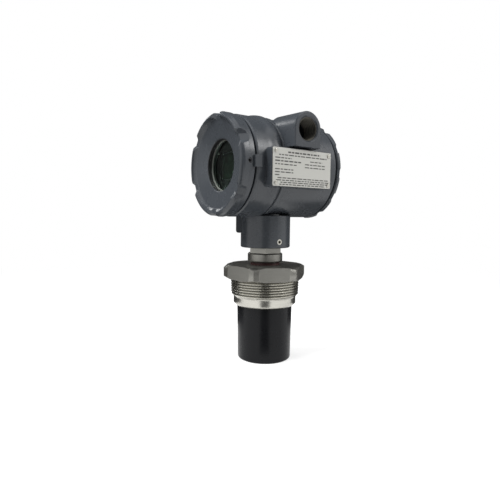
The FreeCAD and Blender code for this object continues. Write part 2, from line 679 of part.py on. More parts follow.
def earth_lug():
    """Flat ear beside the neck, rounded at its lower corner, tapped for the outer earth screw."""
    top = BARREL_AXIS_Z - CAVITY_RADIUS
    reach = LUG_REACH
    corner = (reach, LUG_BOTTOM_Z + LUG_ROUND)
    start = (reach - LUG_ROUND, LUG_BOTTOM_Z)
    ear = profile([
        (NIPPLE_SPIGOT_RADIUS, LUG_BOTTOM_Z), start,
        quarter(start, corner, (reach - LUG_ROUND, LUG_BOTTOM_Z + LUG_ROUND)),
        (reach, top), (NIPPLE_SPIGOT_RADIUS, top),
    ]).extrude(V(0, LUG_THICKNESS, 0))
    ear.translate(V(0, -LUG_THICKNESS / 2, 0))
    ear.rotate(ORIGIN, UP, LUG_DIRECTION_DEG)
    return ear


def earth_frame():
    """Seat of the outer earth screw on the far face of the lug, and the way it points."""
    along = polar(1.0, LUG_DIRECTION_DEG)
    out = polar(1.0, LUG_DIRECTION_DEG - 90)
    seat = along * (LUG_REACH - EARTH_WASHER_RADIUS) + out * (LUG_THICKNESS / 2) + V(0, 0, EARTH_SCREW_Z)
    return seat, out


def neck_passage():
    """Leaning hole for the lead, from the top of the neck's bore to the middle of the module."""
    rise = BARREL_AXIS_Z - MODULE_RADIUS - NECK_BORE_TOP
    ahead = PARTITION_FRONT + MODULE_THICKNESS / 2
    length = math.hypot(ahead, rise)
    way = V(0, -ahead / length, rise / length)
    return V(0, 0, NECK_BORE_TOP) - way * PASSAGE_RADIUS, way, length + 2 * PASSAGE_RADIUS


def nameplate_holes(radius, depth):
    """Four bars for the holes of the drive screws, from the plate's face inward."""
    bars = []
    for point in drive_screw_points():
        bars.append(Part.makeCylinder(radius, depth, point, SIDE * -1))
    return bars


def drive_screw_points():
    half_length = PLATE_LENGTH / 2 - DRIVE_SCREW_INSET
    half_height = PLATE_HEIGHT / 2 - DRIVE_SCREW_INSET
    return [V(PLATE_FACE_X, y, PLATE_Z + z)
            for y in (-half_length, half_length) for z in (-half_height, half_height)]


def housing_casting():
    solid = in_barrel(barrel())
    for extra in (neck(), conduit_boss(1), conduit_boss(-1), nameplate_pad(), lock_lug(), earth_lug()):
        solid = solid.fuse(extra)
    start, way, length = neck_passage()
    seat, out = earth_frame()
    shank_hole = PAN_SHANK_RADIUS + SLIP_FIT
    tools = [
        in_barrel(compartment(PARTITION_FRONT, FRONT_SPIGOT_END)),
        in_barrel(compartment(PARTITION_REAR, -REAR_SPIGOT_END)),
        in_barrel(rod(FEEDTHROUGH_RADIUS + SLIP_FIT, PARTITION_REAR, PARTITION_FRONT)),
        conduit_bore(1),
        conduit_bore(-1),
        rod(NIPPLE_SPIGOT_RADIUS + SLIP_FIT, NECK_BOTTOM, NECK_BORE_TOP),
        Part.makeCylinder(PASSAGE_RADIUS, length, start, way),
        Part.makeCylinder(NECK_SCREW_RADIUS + SLIP_FIT, NECK_RADIUS, V(0, 0, NECK_SCREW_Z),
                          polar(1.0, NECK_SCREW_DEG)),
        Part.makeCylinder(EARTH_SCREW_SHANK_RADIUS + SLIP_FIT, EARTH_SCREW_SHANK_LENGTH, seat, out * -1),
    ]
    tools += nameplate_holes(DRIVE_SCREW_SHANK_RADIUS + SLIP_FIT, PLATE_THICKNESS + DRIVE_SCREW_SHANK_LENGTH)
    for point in module_screw_points():
        hole = rod(shank_hole, PARTITION_FRONT - PAN_SHANK_ENGAGED, PARTITION_FRONT)
        tools.append(in_barrel(moved(hole, point)))
    for point in block_screw_points() + [inner_earth_point()]:
        hole = rod(shank_hole, PARTITION_REAR, PARTITION_REAR + PAN_SHANK_ENGAGED)
        tools.append(in_barrel(moved(hole, point)))
    return solid.cut(tools).removeSplitter()


def neck_set_screw():
    tip = NIPPLE_SPIGOT_RADIUS - NIPPLE_GROOVE_DEPTH + FREE_GAP
    length = NECK_RADIUS - SCREW_RECESS - tip
    way = polar(1.0, NECK_SCREW_DEG)
    screw = set_screw(NECK_SCREW_RADIUS, length, NECK_SCREW_SOCKET_FLATS)
    return placed(screw, way * tip + V(0, 0, NECK_SCREW_Z), way)


def conduit_plug():
    start = CONDUIT_FACE_X - PLUG_RECESS - PLUG_LENGTH
    body = rod(CONDUIT_BORE_RADIUS - THREAD_FIT, start, start + PLUG_LENGTH)
    socket = hex_bar(PLUG_SOCKET_FLATS, PLUG_SOCKET_DEPTH)
    socket.translate(V(0, 0, start + PLUG_LENGTH - PLUG_SOCKET_DEPTH))
    return placed(body.cut(socket), V(0, CONDUIT_SET_BACK, CONDUIT_Z), SIDE * -1)


def nameplate():
    plate = rounded_block(PLATE_HEIGHT, PLATE_LENGTH, PLATE_THICKNESS, PLATE_CORNER)
    plate = placed(plate, V(PAD_FACE_X, 0, PLATE_Z), SIDE)
    return plate.cut(nameplate_holes(DRIVE_SCREW_SHANK_RADIUS + SLIP_FIT, PLATE_THICKNESS))


def nameplate_screws():
    screws = []
    for point in drive_screw_points():
        screw = pan_screw(DRIVE_SCREW_HEAD_RADIUS, DRIVE_SCREW_HEAD_HEIGHT,
                          DRIVE_SCREW_SHANK_RADIUS, DRIVE_SCREW_SHANK_LENGTH)
        screws.append(placed(screw, point, SIDE))
    return group(screws)


def earth_washer():
    seat, out = earth_frame()
    washer = tube(EARTH_WASHER_RADIUS, EARTH_SCREW_SHANK_RADIUS + SLIP_FIT, 0, EARTH_WASHER_THICKNESS)
    return placed(washer, seat, out)


def earth_screw():
    seat, out = earth_frame()
    screw = pan_screw(EARTH_SCREW_HEAD_RADIUS, EARTH_SCREW_HEAD_HEIGHT,
                      EARTH_SCREW_SHANK_RADIUS, EARTH_SCREW_SHANK_LENGTH)
    return placed(screw, seat + out * EARTH_WASHER_THICKNESS, out)


def bowed(start, end, bow):
    """Arc entry of an outline from start to end, bowed to the left of that way by bow."""
    length = math.dist(start, end)
    across = ((start[1] - end[1]) / length, (end[0] - start[0]) / length)
    middle = ((start[0] + end[0]) / 2 + across[0] * bow, (start[1] + end[1]) / 2 + across[1] * bow)
    return middle, end


def scoop(floor, lifted, top, floor_width, mouth_width):
    """Cutter for one scoop beside +X: flat floor in the middle, ramps up to the lifted line at its sides."""
    far = lifted[-1][0] + SCOOP_LIFT
    sections = []
    for line, offset in ((lifted, -mouth_width), (floor, -floor_width),
                         (floor, floor_width), (lifted, mouth_width)):
        ring = line + [(far, line[-1][1]), (far, top), (line[0][0], top), line[0]]
        sections.append(Part.makePolygon([V(r, offset / 2, h) for r, h in ring]))
    return Part.makeLoft(sections, True, True)


def scoop_ring(one_scoop, count, phase_deg):
    """The scoops around a cover, each half way between two lobes."""
    scoops = []
    for index in range(count):
        copy = one_scoop.copy()
        copy.rotate(ORIGIN, UP, phase_deg + (index + 0.5) * 360.0 / count)
        scoops.append(copy)
    return scoops


def oring_centre():
    """Radius of the middle of a cover's O-ring: it rides on the spigot's thread."""
    return COVER_THREAD_RADIUS + SEAL_FIT + COVER_ORING_SECTION


def oring_gland(start):
    """Ring cut in the inside of a cover's skirt that holds its O-ring."""
    outer = oring_centre() + COVER_ORING_SECTION + SEAL_FIT
    return rod(outer, start, start + COVER_ORING_WIDTH)


def dish_forward(radius):
    """How far forward the dished face lies at a radius."""
    inner = WINDOW_RADIUS + WINDOW_CHAMFER
    return FACE_FORWARD + DISH_RISE * (radius - inner) / (DISH_RADIUS - inner)


def front_scoop():
    """Cutter between two lobes: on with the dish to the rim, then out through the skirt's front."""
    edge = (SCOOP_EDGE_RADIUS, dish_forward(SCOOP_EDGE_RADIUS) + SCOOP_STEP)
    lean = (BAND_RADIUS - edge[0]) / (edge[1] - SCOOP_RUN_OUT)
    foot = (BAND_RADIUS + SCOOP_LIFT, SCOOP_RUN_OUT - SCOOP_LIFT / lean)
    inner = (DISH_RADIUS - SCOOP_LIFT, dish_forward(DISH_RADIUS - SCOOP_LIFT) + SCOOP_STEP)
    rise = CREST_FORWARD + SCOOP_STEP - edge[1]
    lifted = [(inner[0], edge[1] + rise), (edge[0] + SCOOP_LIFT, edge[1] + rise),
              (foot[0] + SCOOP_LIFT, foot[1] + rise)]
    top = CREST_FORWARD + SCOOP_LIFT
    return scoop([inner, edge, foot], lifted, top, SCOOP_FLOOR_WIDTH, SCOOP_MOUTH_WIDTH)


def front_cover():
    """Skirt over the spigot, dished face with the window, hub for the glass, scooped rim."""
    edge = COVER_EDGE
    hub_rear = FACE_FORWARD - HUB_LENGTH - WINDOW_WALL
    thread = COVER_THREAD_RADIUS + THREAD_FIT
    dish_edge = (DISH_RADIUS, FACE_FORWARD + DISH_RISE)
    crest_inner = (CREST_INNER_RADIUS, CREST_FORWARD)
    crest_outer = (CREST_INNER_RADIUS + CREST_WIDTH, CREST_FORWARD)
    wall_top = (COVER_RADIUS, CREST_FORWARD - CREST_DROP)
    solid = turned([
        (HUB_BORE_RADIUS, hub_rear), (HUB_BORE_RADIUS, WINDOW_FLOOR), (WINDOW_RADIUS, WINDOW_FLOOR),
        (WINDOW_RADIUS, FACE_FORWARD - WINDOW_CHAMFER), (WINDOW_RADIUS + WINDOW_CHAMFER, FACE_FORWARD),
        dish_edge, bowed(dish_edge, crest_inner, -CREST_HOLLOW), crest_outer,
        bowed(crest_outer, wall_top, CREST_BULGE),
        (COVER_RADIUS, BAND_END), (BAND_RADIUS, BAND_END),
        (BAND_RADIUS, COVER_EDGE_FORWARD + edge), (BAND_RADIUS - edge, COVER_EDGE_FORWARD),
        (thread, COVER_EDGE_FORWARD), (thread, FRONT_SPIGOT_END + FREE_GAP),
        (HUB_RADIUS, FRONT_SPIGOT_END + FREE_GAP), (HUB_RADIUS, hub_rear),
    ])
    core = rod(HUB_RADIUS, COVER_EDGE_FORWARD, FACE_FORWARD)
    gland = oring_gland(COVER_EDGE_FORWARD + COVER_ORING_FROM_EDGE)
    hole = Part.makeCylinder(LOCK_SCREW_RADIUS + SLIP_FIT, COVER_RADIUS, V(0, 0, LOCK_SCREW_FORWARD), SIDE)
    scoops = scoop_ring(front_scoop(), LOBE_COUNT, LOBE_PHASE_DEG)
    solid = solid.cut(scoops).cut([gland.cut(core), hole.cut(core)])
    return in_barrel(solid.removeSplitter())


def cover_lock_screw():
    tip = COVER_THREAD_RADIUS + SEAL_FIT
    length = BAND_RADIUS - SCREW_RECESS - tip
    screw = set_screw(LOCK_SCREW_RADIUS, length, LOCK_SCREW_SOCKET_FLATS)
    return in_barrel(placed(screw, V(tip, 0, LOCK_SCREW_FORWARD), SIDE))


def front_cover_oring():
    middle = COVER_EDGE_FORWARD + COVER_ORING_FROM_EDGE + COVER_ORING_WIDTH / 2
    return in_barrel(ring_seal(oring_centre(), COVER_ORING_SECTION, middle))


def window_gasket():
    return in_barrel(tube(HUB_BORE_RADIUS - BOND_GAP, WINDOW_RADIUS - GASKET_LIP, GLASS_FRONT, WINDOW_FLOOR))


def window_glass():
    return in_barrel(rod(HUB_BORE_RADIUS - BOND_GAP, GLASS_REAR, GLASS_FRONT))


def window_retaining_ring():
    outer = HUB_BORE_RADIUS - THREAD_FIT
    return in_barrel(tube(outer, outer - RING_WIDTH, GLASS_REAR - RING_THICKNESS, GLASS_REAR))


def rear_cover():
    """Blind cap: scooped rim over the rear spigot, cone down to a dished end."""
    edge = COVER_EDGE
    rim_end = REAR_EDGE_BACK + REAR_RIM_DEPTH
    cap_end = REAR_EDGE_BACK + REAR_CAP_DEPTH
    thread = COVER_THREAD_RADIUS + THREAD_FIT
    floor = REAR_SPIGOT_END + FREE_GAP
    solid = turned([
        (0, floor), (thread, floor), (thread, REAR_EDGE_BACK), (REAR_COVER_RADIUS - edge, REAR_EDGE_BACK),
        (REAR_COVER_RADIUS, REAR_EDGE_BACK + edge), (REAR_COVER_RADIUS, rim_end), (REAR_CAP_RADIUS, cap_end),
        (REAR_DISH_RADIUS, cap_end), (REAR_DISH_RADIUS - REAR_DISH_DEPTH, cap_end - REAR_DISH_DEPTH),
        (0, cap_end - REAR_DISH_DEPTH),
    ])
    top = (REAR_SCOOP_RADIUS, cap_end + SCOOP_LIFT)
    run_out = REAR_EDGE_BACK - REAR_SCOOP_RUN_OUT
    lean = (REAR_COVER_RADIUS - top[0]) / (top[1] - run_out)
    foot = (REAR_COVER_RADIUS + SCOOP_LIFT, run_out - SCOOP_LIFT / lean)
    lift = REAR_COVER_RADIUS - REAR_SCOOP_RADIUS
    lifted = [(top[0] + lift, top[1]), (foot[0] + lift, foot[1])]
    above = cap_end + 2 * SCOOP_LIFT
    one = scoop([top, foot], lifted, above, REAR_SCOOP_FLOOR_WIDTH, REAR_SCOOP_MOUTH_WIDTH)
    scoops = scoop_ring(one, REAR_LOBE_COUNT, REAR_LOBE_PHASE_DEG)
    gland = oring_gland(REAR_EDGE_BACK + COVER_ORING_FROM_EDGE)
    return in_barrel_rear(solid.cut(scoops).cut(gland).removeSplitter())


def rear_cover_oring():
    middle = REAR_EDGE_BACK + COVER_ORING_FROM_EDGE + COVER_ORING_WIDTH / 2
    return in_barrel_rear(ring_seal(oring_centre(), COVER_ORING_SECTION, middle))


def module_screw_points():
    return [polar(MODULE_SCREW_CIRCLE, angle) for angle in MODULE_SCREW_ANGLES_DEG]


def post_points():
    return [polar(POST_CIRCLE_RADIUS, angle) for angle in POST_ANGLES_DEG]


def electronics_module():
    """Potted cup on the partition, with bosses that carry the display board."""
    chamfer = MODULE_CHAMFER
    solid = turned([
        (0, PARTITION_FRONT), (MODULE_RADIUS, PARTITION_FRONT), (MODULE_RADIUS, MODULE_FRONT - chamfer),
        (MODULE_RADIUS - chamfer, MODULE_FRONT), (0, MODULE_FRONT),
    ])
    for point in post_points():
        solid = solid.fuse(moved(rod(BOSS_RADIUS, MODULE_FRONT - chamfer, BOARD_REAR), point))
    shank_hole = PAN_SHANK_RADIUS + SLIP_FIT
    holes = [moved(rod(shank_hole, PARTITION_FRONT, MODULE_FRONT), p) for p in module_screw_points()]
    holes += [moved(rod(shank_hole, BOARD_REAR - PAN_SHANK_ENGAGED, BOARD_REAR), p) for p in post_points()]
    return in_barrel(solid.cut(holes))


def module_screws():
    length = MODULE_THICKNESS + PAN_SHANK_ENGAGED
    screw = pan_screw(PAN_HEAD_RADIUS, PAN_HEAD_HEIGHT, PAN_SHANK_RADIUS, length)
    return group([in_barrel(moved(screw, p + V(0, 0, MODULE_FRONT))) for p in module_screw_points()])


def display_board():
    board = rod(BOARD_RADIUS, BOARD_REAR, BOARD_FRONT)
    holes = [moved(rod(PAN_SHANK_RADIUS + SLIP_FIT, BOARD_REAR, BOARD_FRONT), p) for p in post_points()]
    return in_barrel(board.cut(holes))


def lcd_panel():
    panel = Part.makeBox(LCD_LENGTH, LCD_HEIGHT, LCD_THICKNESS,
                         V(-LCD_LENGTH / 2, LCD_ABOVE_AXIS - LCD_HEIGHT / 2, BOARD_FRONT))
    return in_barrel(panel)


def key_points():
    return [V(column * KEY_PITCH, -KEY_BELOW_AXIS, 0) for column in (-1, 0, 1)]


def display_bezel():
    """Moulded face with the display's opening, key holes and posts back to the board."""
    solid = rod(BEZEL_RADIUS, BEZEL_REAR, BEZEL_FRONT)
    for point in post_points():
        solid = solid.fuse(moved(rod(BOSS_RADIUS, BOARD_FRONT, BEZEL_REAR), point))
    opening = rounded_block(BEZEL_WINDOW_LENGTH, BEZEL_WINDOW_HEIGHT, BEZEL_THICKNESS, BEZEL_WINDOW_CORNER)
    tools = [moved(opening, V(0, LCD_ABOVE_AXIS, BEZEL_REAR))]
    tools += [moved(rod(KEY_RADIUS + FREE_GAP, BEZEL_REAR, BEZEL_FRONT), p) for p in key_points()]
    tools += [moved(rod(PAN_SHANK_RADIUS + SLIP_FIT, BOARD_FRONT, BEZEL_FRONT), p) for p in post_points()]
    return in_barrel(solid.cut(tools))


def bezel_screws():
    length = BEZEL_FRONT - BOARD_REAR + PAN_SHANK_ENGAGED
    screw = pan_screw(PAN_HEAD_RADIUS, PAN_HEAD_HEIGHT, PAN_SHANK_RADIUS, length)
    return group([in_barrel(moved(screw, p + V(0, 0, BEZEL_FRONT))) for p in post_points()])


def key(column):
    """Push key in its hole, held by a flange behind the bezel."""
    cap = rod(KEY_RADIUS, BOARD_FRONT + KEY_TRAVEL + KEY_END_GAP, BEZEL_FRONT + KEY_PROUD)
    flange_top = BEZEL_REAR - KEY_END_GAP
    flange = rod(KEY_FLANGE_RADIUS, flange_top - KEY_FLANGE_THICKNESS, flange_top)
    return in_barrel(moved(cap.fuse(flange), key_points()[column]))


def feedthrough():
    return in_barrel(rod(FEEDTHROUGH_RADIUS, PARTITION_REAR, PARTITION_FRONT))


def block_screw_points():
    return [V(way * BLOCK_SCREW_OFFSET, -BLOCK_BELOW_AXIS, 0) for way in (-1, 1)]


def inner_earth_point():
    return V(-INNER_EARTH_OFFSET, -INNER_EARTH_BELOW_AXIS, 0)


def terminal_points():
    first = -(TERMINAL_COUNT - 1) / 2
    return [V((first + n) * TERMINAL_PITCH, -BLOCK_BELOW_AXIS, 0) for n in range(TERMINAL_COUNT)]


def rearward(shape):
    """Turn a shape made forward about a point of the partition so that it points rearward."""
    shape.rotate(ORIGIN, V(0, 1, 0), 180)
    return shape


def terminal_block():
    """Moulded block with a walled slot for each terminal."""
    block = rounded_block(BLOCK_LENGTH, BLOCK_HEIGHT, BLOCK_DEPTH, BLOCK_EDGE)
    block.translate(V(0, -BLOCK_BELOW_AXIS, PARTITION_REAR - BLOCK_DEPTH))
    face = -BLOCK_FACE
    tools = []
    for point in terminal_points():
        slot = Part.makeBox(TERMINAL_SLOT_WIDTH, TERMINAL_SLOT_HEIGHT, TERMINAL_SLOT_DEPTH,
                            V(-TERMINAL_SLOT_WIDTH / 2, -TERMINAL_SLOT_HEIGHT / 2, face))
        hole = rod(TERMINAL_SHANK_RADIUS + SLIP_FIT, face, face + TERMINAL_SLOT_DEPTH + TERMINAL_SHANK_LENGTH)
        tools += [moved(slot, point), moved(hole, point)]
    for point in block_screw_points():
        tools.append(moved(rod(PAN_SHANK_RADIUS + SLIP_FIT, face, PARTITION_REAR), point))
    return in_barrel(block.cut(tools))


def terminal_clamps():
    size = TERMINAL_SLOT_WIDTH - 2 * CLAMP_CLEARANCE
    floor = TERMINAL_SLOT_DEPTH - BLOCK_FACE
    clamps = []
    for point in terminal_points():
        plate = rounded_block(size, size, CLAMP_THICKNESS, CLAMP_CLEARANCE)
        plate.translate(V(0, 0, floor - CLAMP_THICKNESS))
        hole = rod(TERMINAL_SHANK_RADIUS + SLIP_FIT, floor - CLAMP_THICKNESS, floor)
        clamps.append(in_barrel(moved(plate.cut(hole), point)))
    return group(clamps)


def terminal_screws():
    seat = TERMINAL_SLOT_DEPTH - BLOCK_FACE - CLAMP_THICKNESS
    screws = []
    for point in terminal_points():
        screw = rearward(pan_screw(TERMINAL_HEAD_RADIUS, TERMINAL_HEAD_HEIGHT,
                                   TERMINAL_SHANK_RADIUS, TERMINAL_SHANK_LENGTH))
        screws.append(in_barrel(moved(screw, point + V(0, 0, seat))))
    return group(screws)


def block_screws():
    screws = []
    for point in block_screw_points():
        screw = rearward(pan_screw(PAN_HEAD_RADIUS, PAN_HEAD_HEIGHT, PAN_SHANK_RADIUS,
                                   BLOCK_DEPTH + PAN_SHANK_ENGAGED))
        screws.append(in_barrel(moved(screw, point + V(0, 0, -BLOCK_FACE))))
    return group(screws)


def inner_earth_screw():
    screw = rearward(pan_screw(PAN_HEAD_RADIUS, PAN_HEAD_HEIGHT, PAN_SHANK_RADIUS, PAN_SHANK_ENGAGED))
    return in_barrel(moved(screw, inner_earth_point() + V(0, 0, PARTITION_REAR)))


def module_lead():
    """Lead in the leaning passage, from the top of the nipple to the module."""
    start, way, length = neck_passage()
    lead = Part.makeCylinder(LEAD_RADIUS, length, start, way)
    above = Part.makeBox(4 * NECK_RADIUS, 4 * NECK_RADIUS, BARREL_AXIS_Z,
                         V(-2 * NECK_RADIUS, -2 * NECK_RADIUS, NECK_BORE_TOP))
    return lead.common(above).cut(in_barrel(rod(MODULE_RADIUS, PARTITION_FRONT, MODULE_FRONT)))


NODES = {
    "process_bushing": process_bushing,
    "transducer_shell": transducer_shell,
    "shell_oring": shell_oring,
    "matching_disc": matching_disc,
    "piezo_disc": piezo_disc,
    "damping_sleeve": damping_sleeve,
    "potting": potting,
    "transducer_lead": transducer_lead,
    "bushing_seal": bushing_seal,
    "hex_nipple": hex_nipple,
    "nipple_oring": nipple_oring,
    "housing_casting": housing_casting,
    "neck_set_screw": neck_set_screw,
    "conduit_plug": conduit_plug,
    "nameplate": nameplate,
    "nameplate_screws": nameplate_screws,
    "earth_washer": earth_washer,
    "earth_screw": earth_screw,
    "front_cover": front_cover,
    "cover_lock_screw": cover_lock_screw,
    "front_cover_oring": front_cover_oring,
    "window_gasket": window_gasket,
    "window_glass": window_glass,
    "window_retaining_ring": window_retaining_ring,
    "rear_cover": rear_cover,
    "rear_cover_oring": rear_cover_oring,
    "electronics_module": electronics_module,
    "module_screws": module_screws,
    "display_board": display_board,
    "lcd_panel": lcd_panel,
    "display_bezel": display_bezel,
    "bezel_screws": bezel_screws,
    "key_left": lambda: key(0),
    "key_middle": lambda: key(1),
    "key_right": lambda: key(2),
    "feedthrough": feedthrough,
    "terminal_block": terminal_block,
    "block_screws": block_screws,
    "terminal_clamps": terminal_clamps,
    "terminal_screws": terminal_screws,
    "inner_earth_screw": inner_earth_screw,
    "module_lead": module_lead,
}


def main():
    os.makedirs("parts", exist_ok=True)
    for name, build in NODES.items():
        shape = build()
        shape.exportStep(os.path.join("parts", name + ".step"))
        print(name, len(shape.Solids), round(shape.Volume, 1), shape.isValid())


main()
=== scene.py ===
"""Looks of an ultrasonic level transmitter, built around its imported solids."""

import logging
import math
import random
from dataclasses import dataclass, field
from enum import Enum
from typing import Callable, Dict, List, Optional, Sequence, Tuple, Union

import bmesh
import bpy
from mathutils import Matrix, Vector


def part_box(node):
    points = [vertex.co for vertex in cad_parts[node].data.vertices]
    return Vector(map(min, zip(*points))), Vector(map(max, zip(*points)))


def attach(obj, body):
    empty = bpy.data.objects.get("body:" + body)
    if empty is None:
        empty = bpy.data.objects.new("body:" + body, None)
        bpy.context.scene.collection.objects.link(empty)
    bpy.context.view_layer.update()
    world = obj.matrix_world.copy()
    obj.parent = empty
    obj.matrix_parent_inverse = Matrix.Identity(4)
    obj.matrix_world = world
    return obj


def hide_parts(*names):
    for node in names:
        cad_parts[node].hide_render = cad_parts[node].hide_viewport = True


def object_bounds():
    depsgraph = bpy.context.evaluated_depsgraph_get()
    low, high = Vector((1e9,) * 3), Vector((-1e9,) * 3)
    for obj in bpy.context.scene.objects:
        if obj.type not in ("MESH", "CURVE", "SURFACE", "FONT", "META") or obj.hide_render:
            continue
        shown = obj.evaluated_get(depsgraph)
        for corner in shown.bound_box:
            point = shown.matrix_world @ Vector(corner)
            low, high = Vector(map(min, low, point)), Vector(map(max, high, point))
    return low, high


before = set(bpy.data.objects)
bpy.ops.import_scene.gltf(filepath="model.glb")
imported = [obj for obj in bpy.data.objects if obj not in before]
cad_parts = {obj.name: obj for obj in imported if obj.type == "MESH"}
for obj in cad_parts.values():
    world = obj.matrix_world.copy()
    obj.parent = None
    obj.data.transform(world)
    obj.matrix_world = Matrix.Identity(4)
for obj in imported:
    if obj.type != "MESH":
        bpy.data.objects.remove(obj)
cad_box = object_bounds()

LOG = logging.getLogger("level_transmitter")
MM = 0.001
WELD = 1e-6
BARREL_AXIS_Z = 95.0 * MM
WHITE = (1.0, 1.0, 1.0, 1.0)
BLACK = (0.0, 0.0, 0.0, 1.0)

Pair = Tuple[float, float]
Triple = Tuple[float, float, float]
Rgba = Tuple[float, float, float, float]
Socket = bpy.types.NodeSocket
Value = Union[float, Rgba, Socket]


def linear(colour: Triple) -> Rgba:
    """Turn a display colour into the linear colour that shaders take.

    Args:
        colour: Red, green and blue from 0 to 255.

    Returns:
        Linear red, green, blue and a full alpha.
    """
    steps = [c / 255.0 for c in colour]
    flat = [c / 12.92 if c <= 0.04045 else ((c + 0.055) / 1.055) ** 2.4 for c in steps]
    return flat[0], flat[1], flat[2], 1.0


class Pattern(Enum):
    """How the surface of a finish was made, which decides its fine detail."""

    CAST = "cast and painted"
    MOULDED = "moulded"
    TURNED_UPRIGHT = "turned about the thread's axis"
    TURNED_BARREL = "turned about the barrel's axis"
    BRUSHED = "brushed along the plate"


class Tree:
    """Short hand for adding and joining the nodes of one tree."""

    MIX_SOCKETS = {"FLOAT": (2, 3, 0), "RGBA": (6, 7, 2)}

    def __init__(self, tree: bpy.types.NodeTree) -> None:
        """Keep the tree that nodes are added to."""
        self.tree = tree

    def node(self, kind: str, **settings: object) -> bpy.types.Node:
        """Add a node.

        Args:
            kind: Blender's name of the node type.
            **settings: Properties to set on the node.

        Returns:
            The new node.
        """
        made = self.tree.nodes.new(kind)
        for name, value in settings.items():
            setattr(made, name, value)
        return made

    def feed(self, socket: Socket, value: Value) -> None:
        """Link a socket into an input, or set the input's own value.

        Args:
            socket: The input.
            value: The socket to link, or the value to set.
        """
        if isinstance(value, bpy.types.NodeSocket):
            self.tree.links.new(value, socket)
        else:
            socket.default_value = value

    def math(self, operation: str, first: Value, second: Value = 0.0) -> Socket:
        """Add a math node.

        Args:
            operation: Name of the operation.
            first: First number or socket.
            second: Second number or socket.

        Returns:
            The result's socket.
        """
        made = self.node("ShaderNodeMath", operation=operation)
        self.feed(made.inputs[0], first)
        self.feed(made.inputs[1], second)
        return made.outputs[0]

    def blend(self, first: Socket, second: Socket, share: float) -> Socket:
        """Blend two values, with a share of the second one."""
        rest = self.math("MULTIPLY", first, 1.0 - share)
        return self.math("ADD", rest, self.math("MULTIPLY", second, share))

    def mix(self, factor: Value, first: Value, second: Value, kind: str = "RGBA") -> Socket:
        """Mix two colours or two numbers.

        Args:
            factor: Share of the second one.
            first: Colour or number at 0.
            second: Colour or number at 1.
            kind: Blender's name of what is mixed, RGBA or FLOAT.

        Returns:
            The result's socket.
        """
        made = self.node("ShaderNodeMix", data_type=kind)
        first_place, second_place, result = self.MIX_SOCKETS[kind]
        self.feed(made.inputs["Factor"], factor)
        self.feed(made.inputs[first_place], first)
        self.feed(made.inputs[second_place], second)
        return made.outputs[result]

    def spread(self, value: Value, low: float, high: float) -> Socket:
        """Map a value from 0 to 1 onto a range.

        Args:
            value: The value or its socket.
            low: Result at 0.
            high: Result at 1.

        Returns:
            The mapped value's socket.
        """
        made = self.node("ShaderNodeMapRange")
        self.feed(made.inputs["Value"], value)
        made.inputs["To Min"].default_value = low
        made.inputs["To Max"].default_value = high
        return made.outputs["Result"]

    def ramp(self, value: Value, low: Value, high: Value) -> Socket:
        """Rise smoothly from 0 to 1.

        Args:
            value: The value or its socket.
            low: Value where the rise begins.
            high: Value where it ends.

        Returns:
            The risen value's socket.
        """
        made = self.node("ShaderNodeMapRange", interpolation_type="SMOOTHSTEP")
        self.feed(made.inputs["Value"], value)
        self.feed(made.inputs["From Min"], low)
        self.feed(made.inputs["From Max"], high)
        return made.outputs["Result"]

    def noise(self, vector: Socket, scale: Value, detail: float) -> Socket:
        """Add a noise texture.

        Args:
            vector: Coordinates.
            scale: Cells per metre.
            detail: Number of finer layers.

        Returns:
            The noise value's socket.
        """
        made = self.node("ShaderNodeTexNoise")
        self.feed(made.inputs["Vector"], vector)
        self.feed(made.inputs["Scale"], scale)
        made.inputs["Detail"].default_value = detail
        return made.outputs["Fac"]


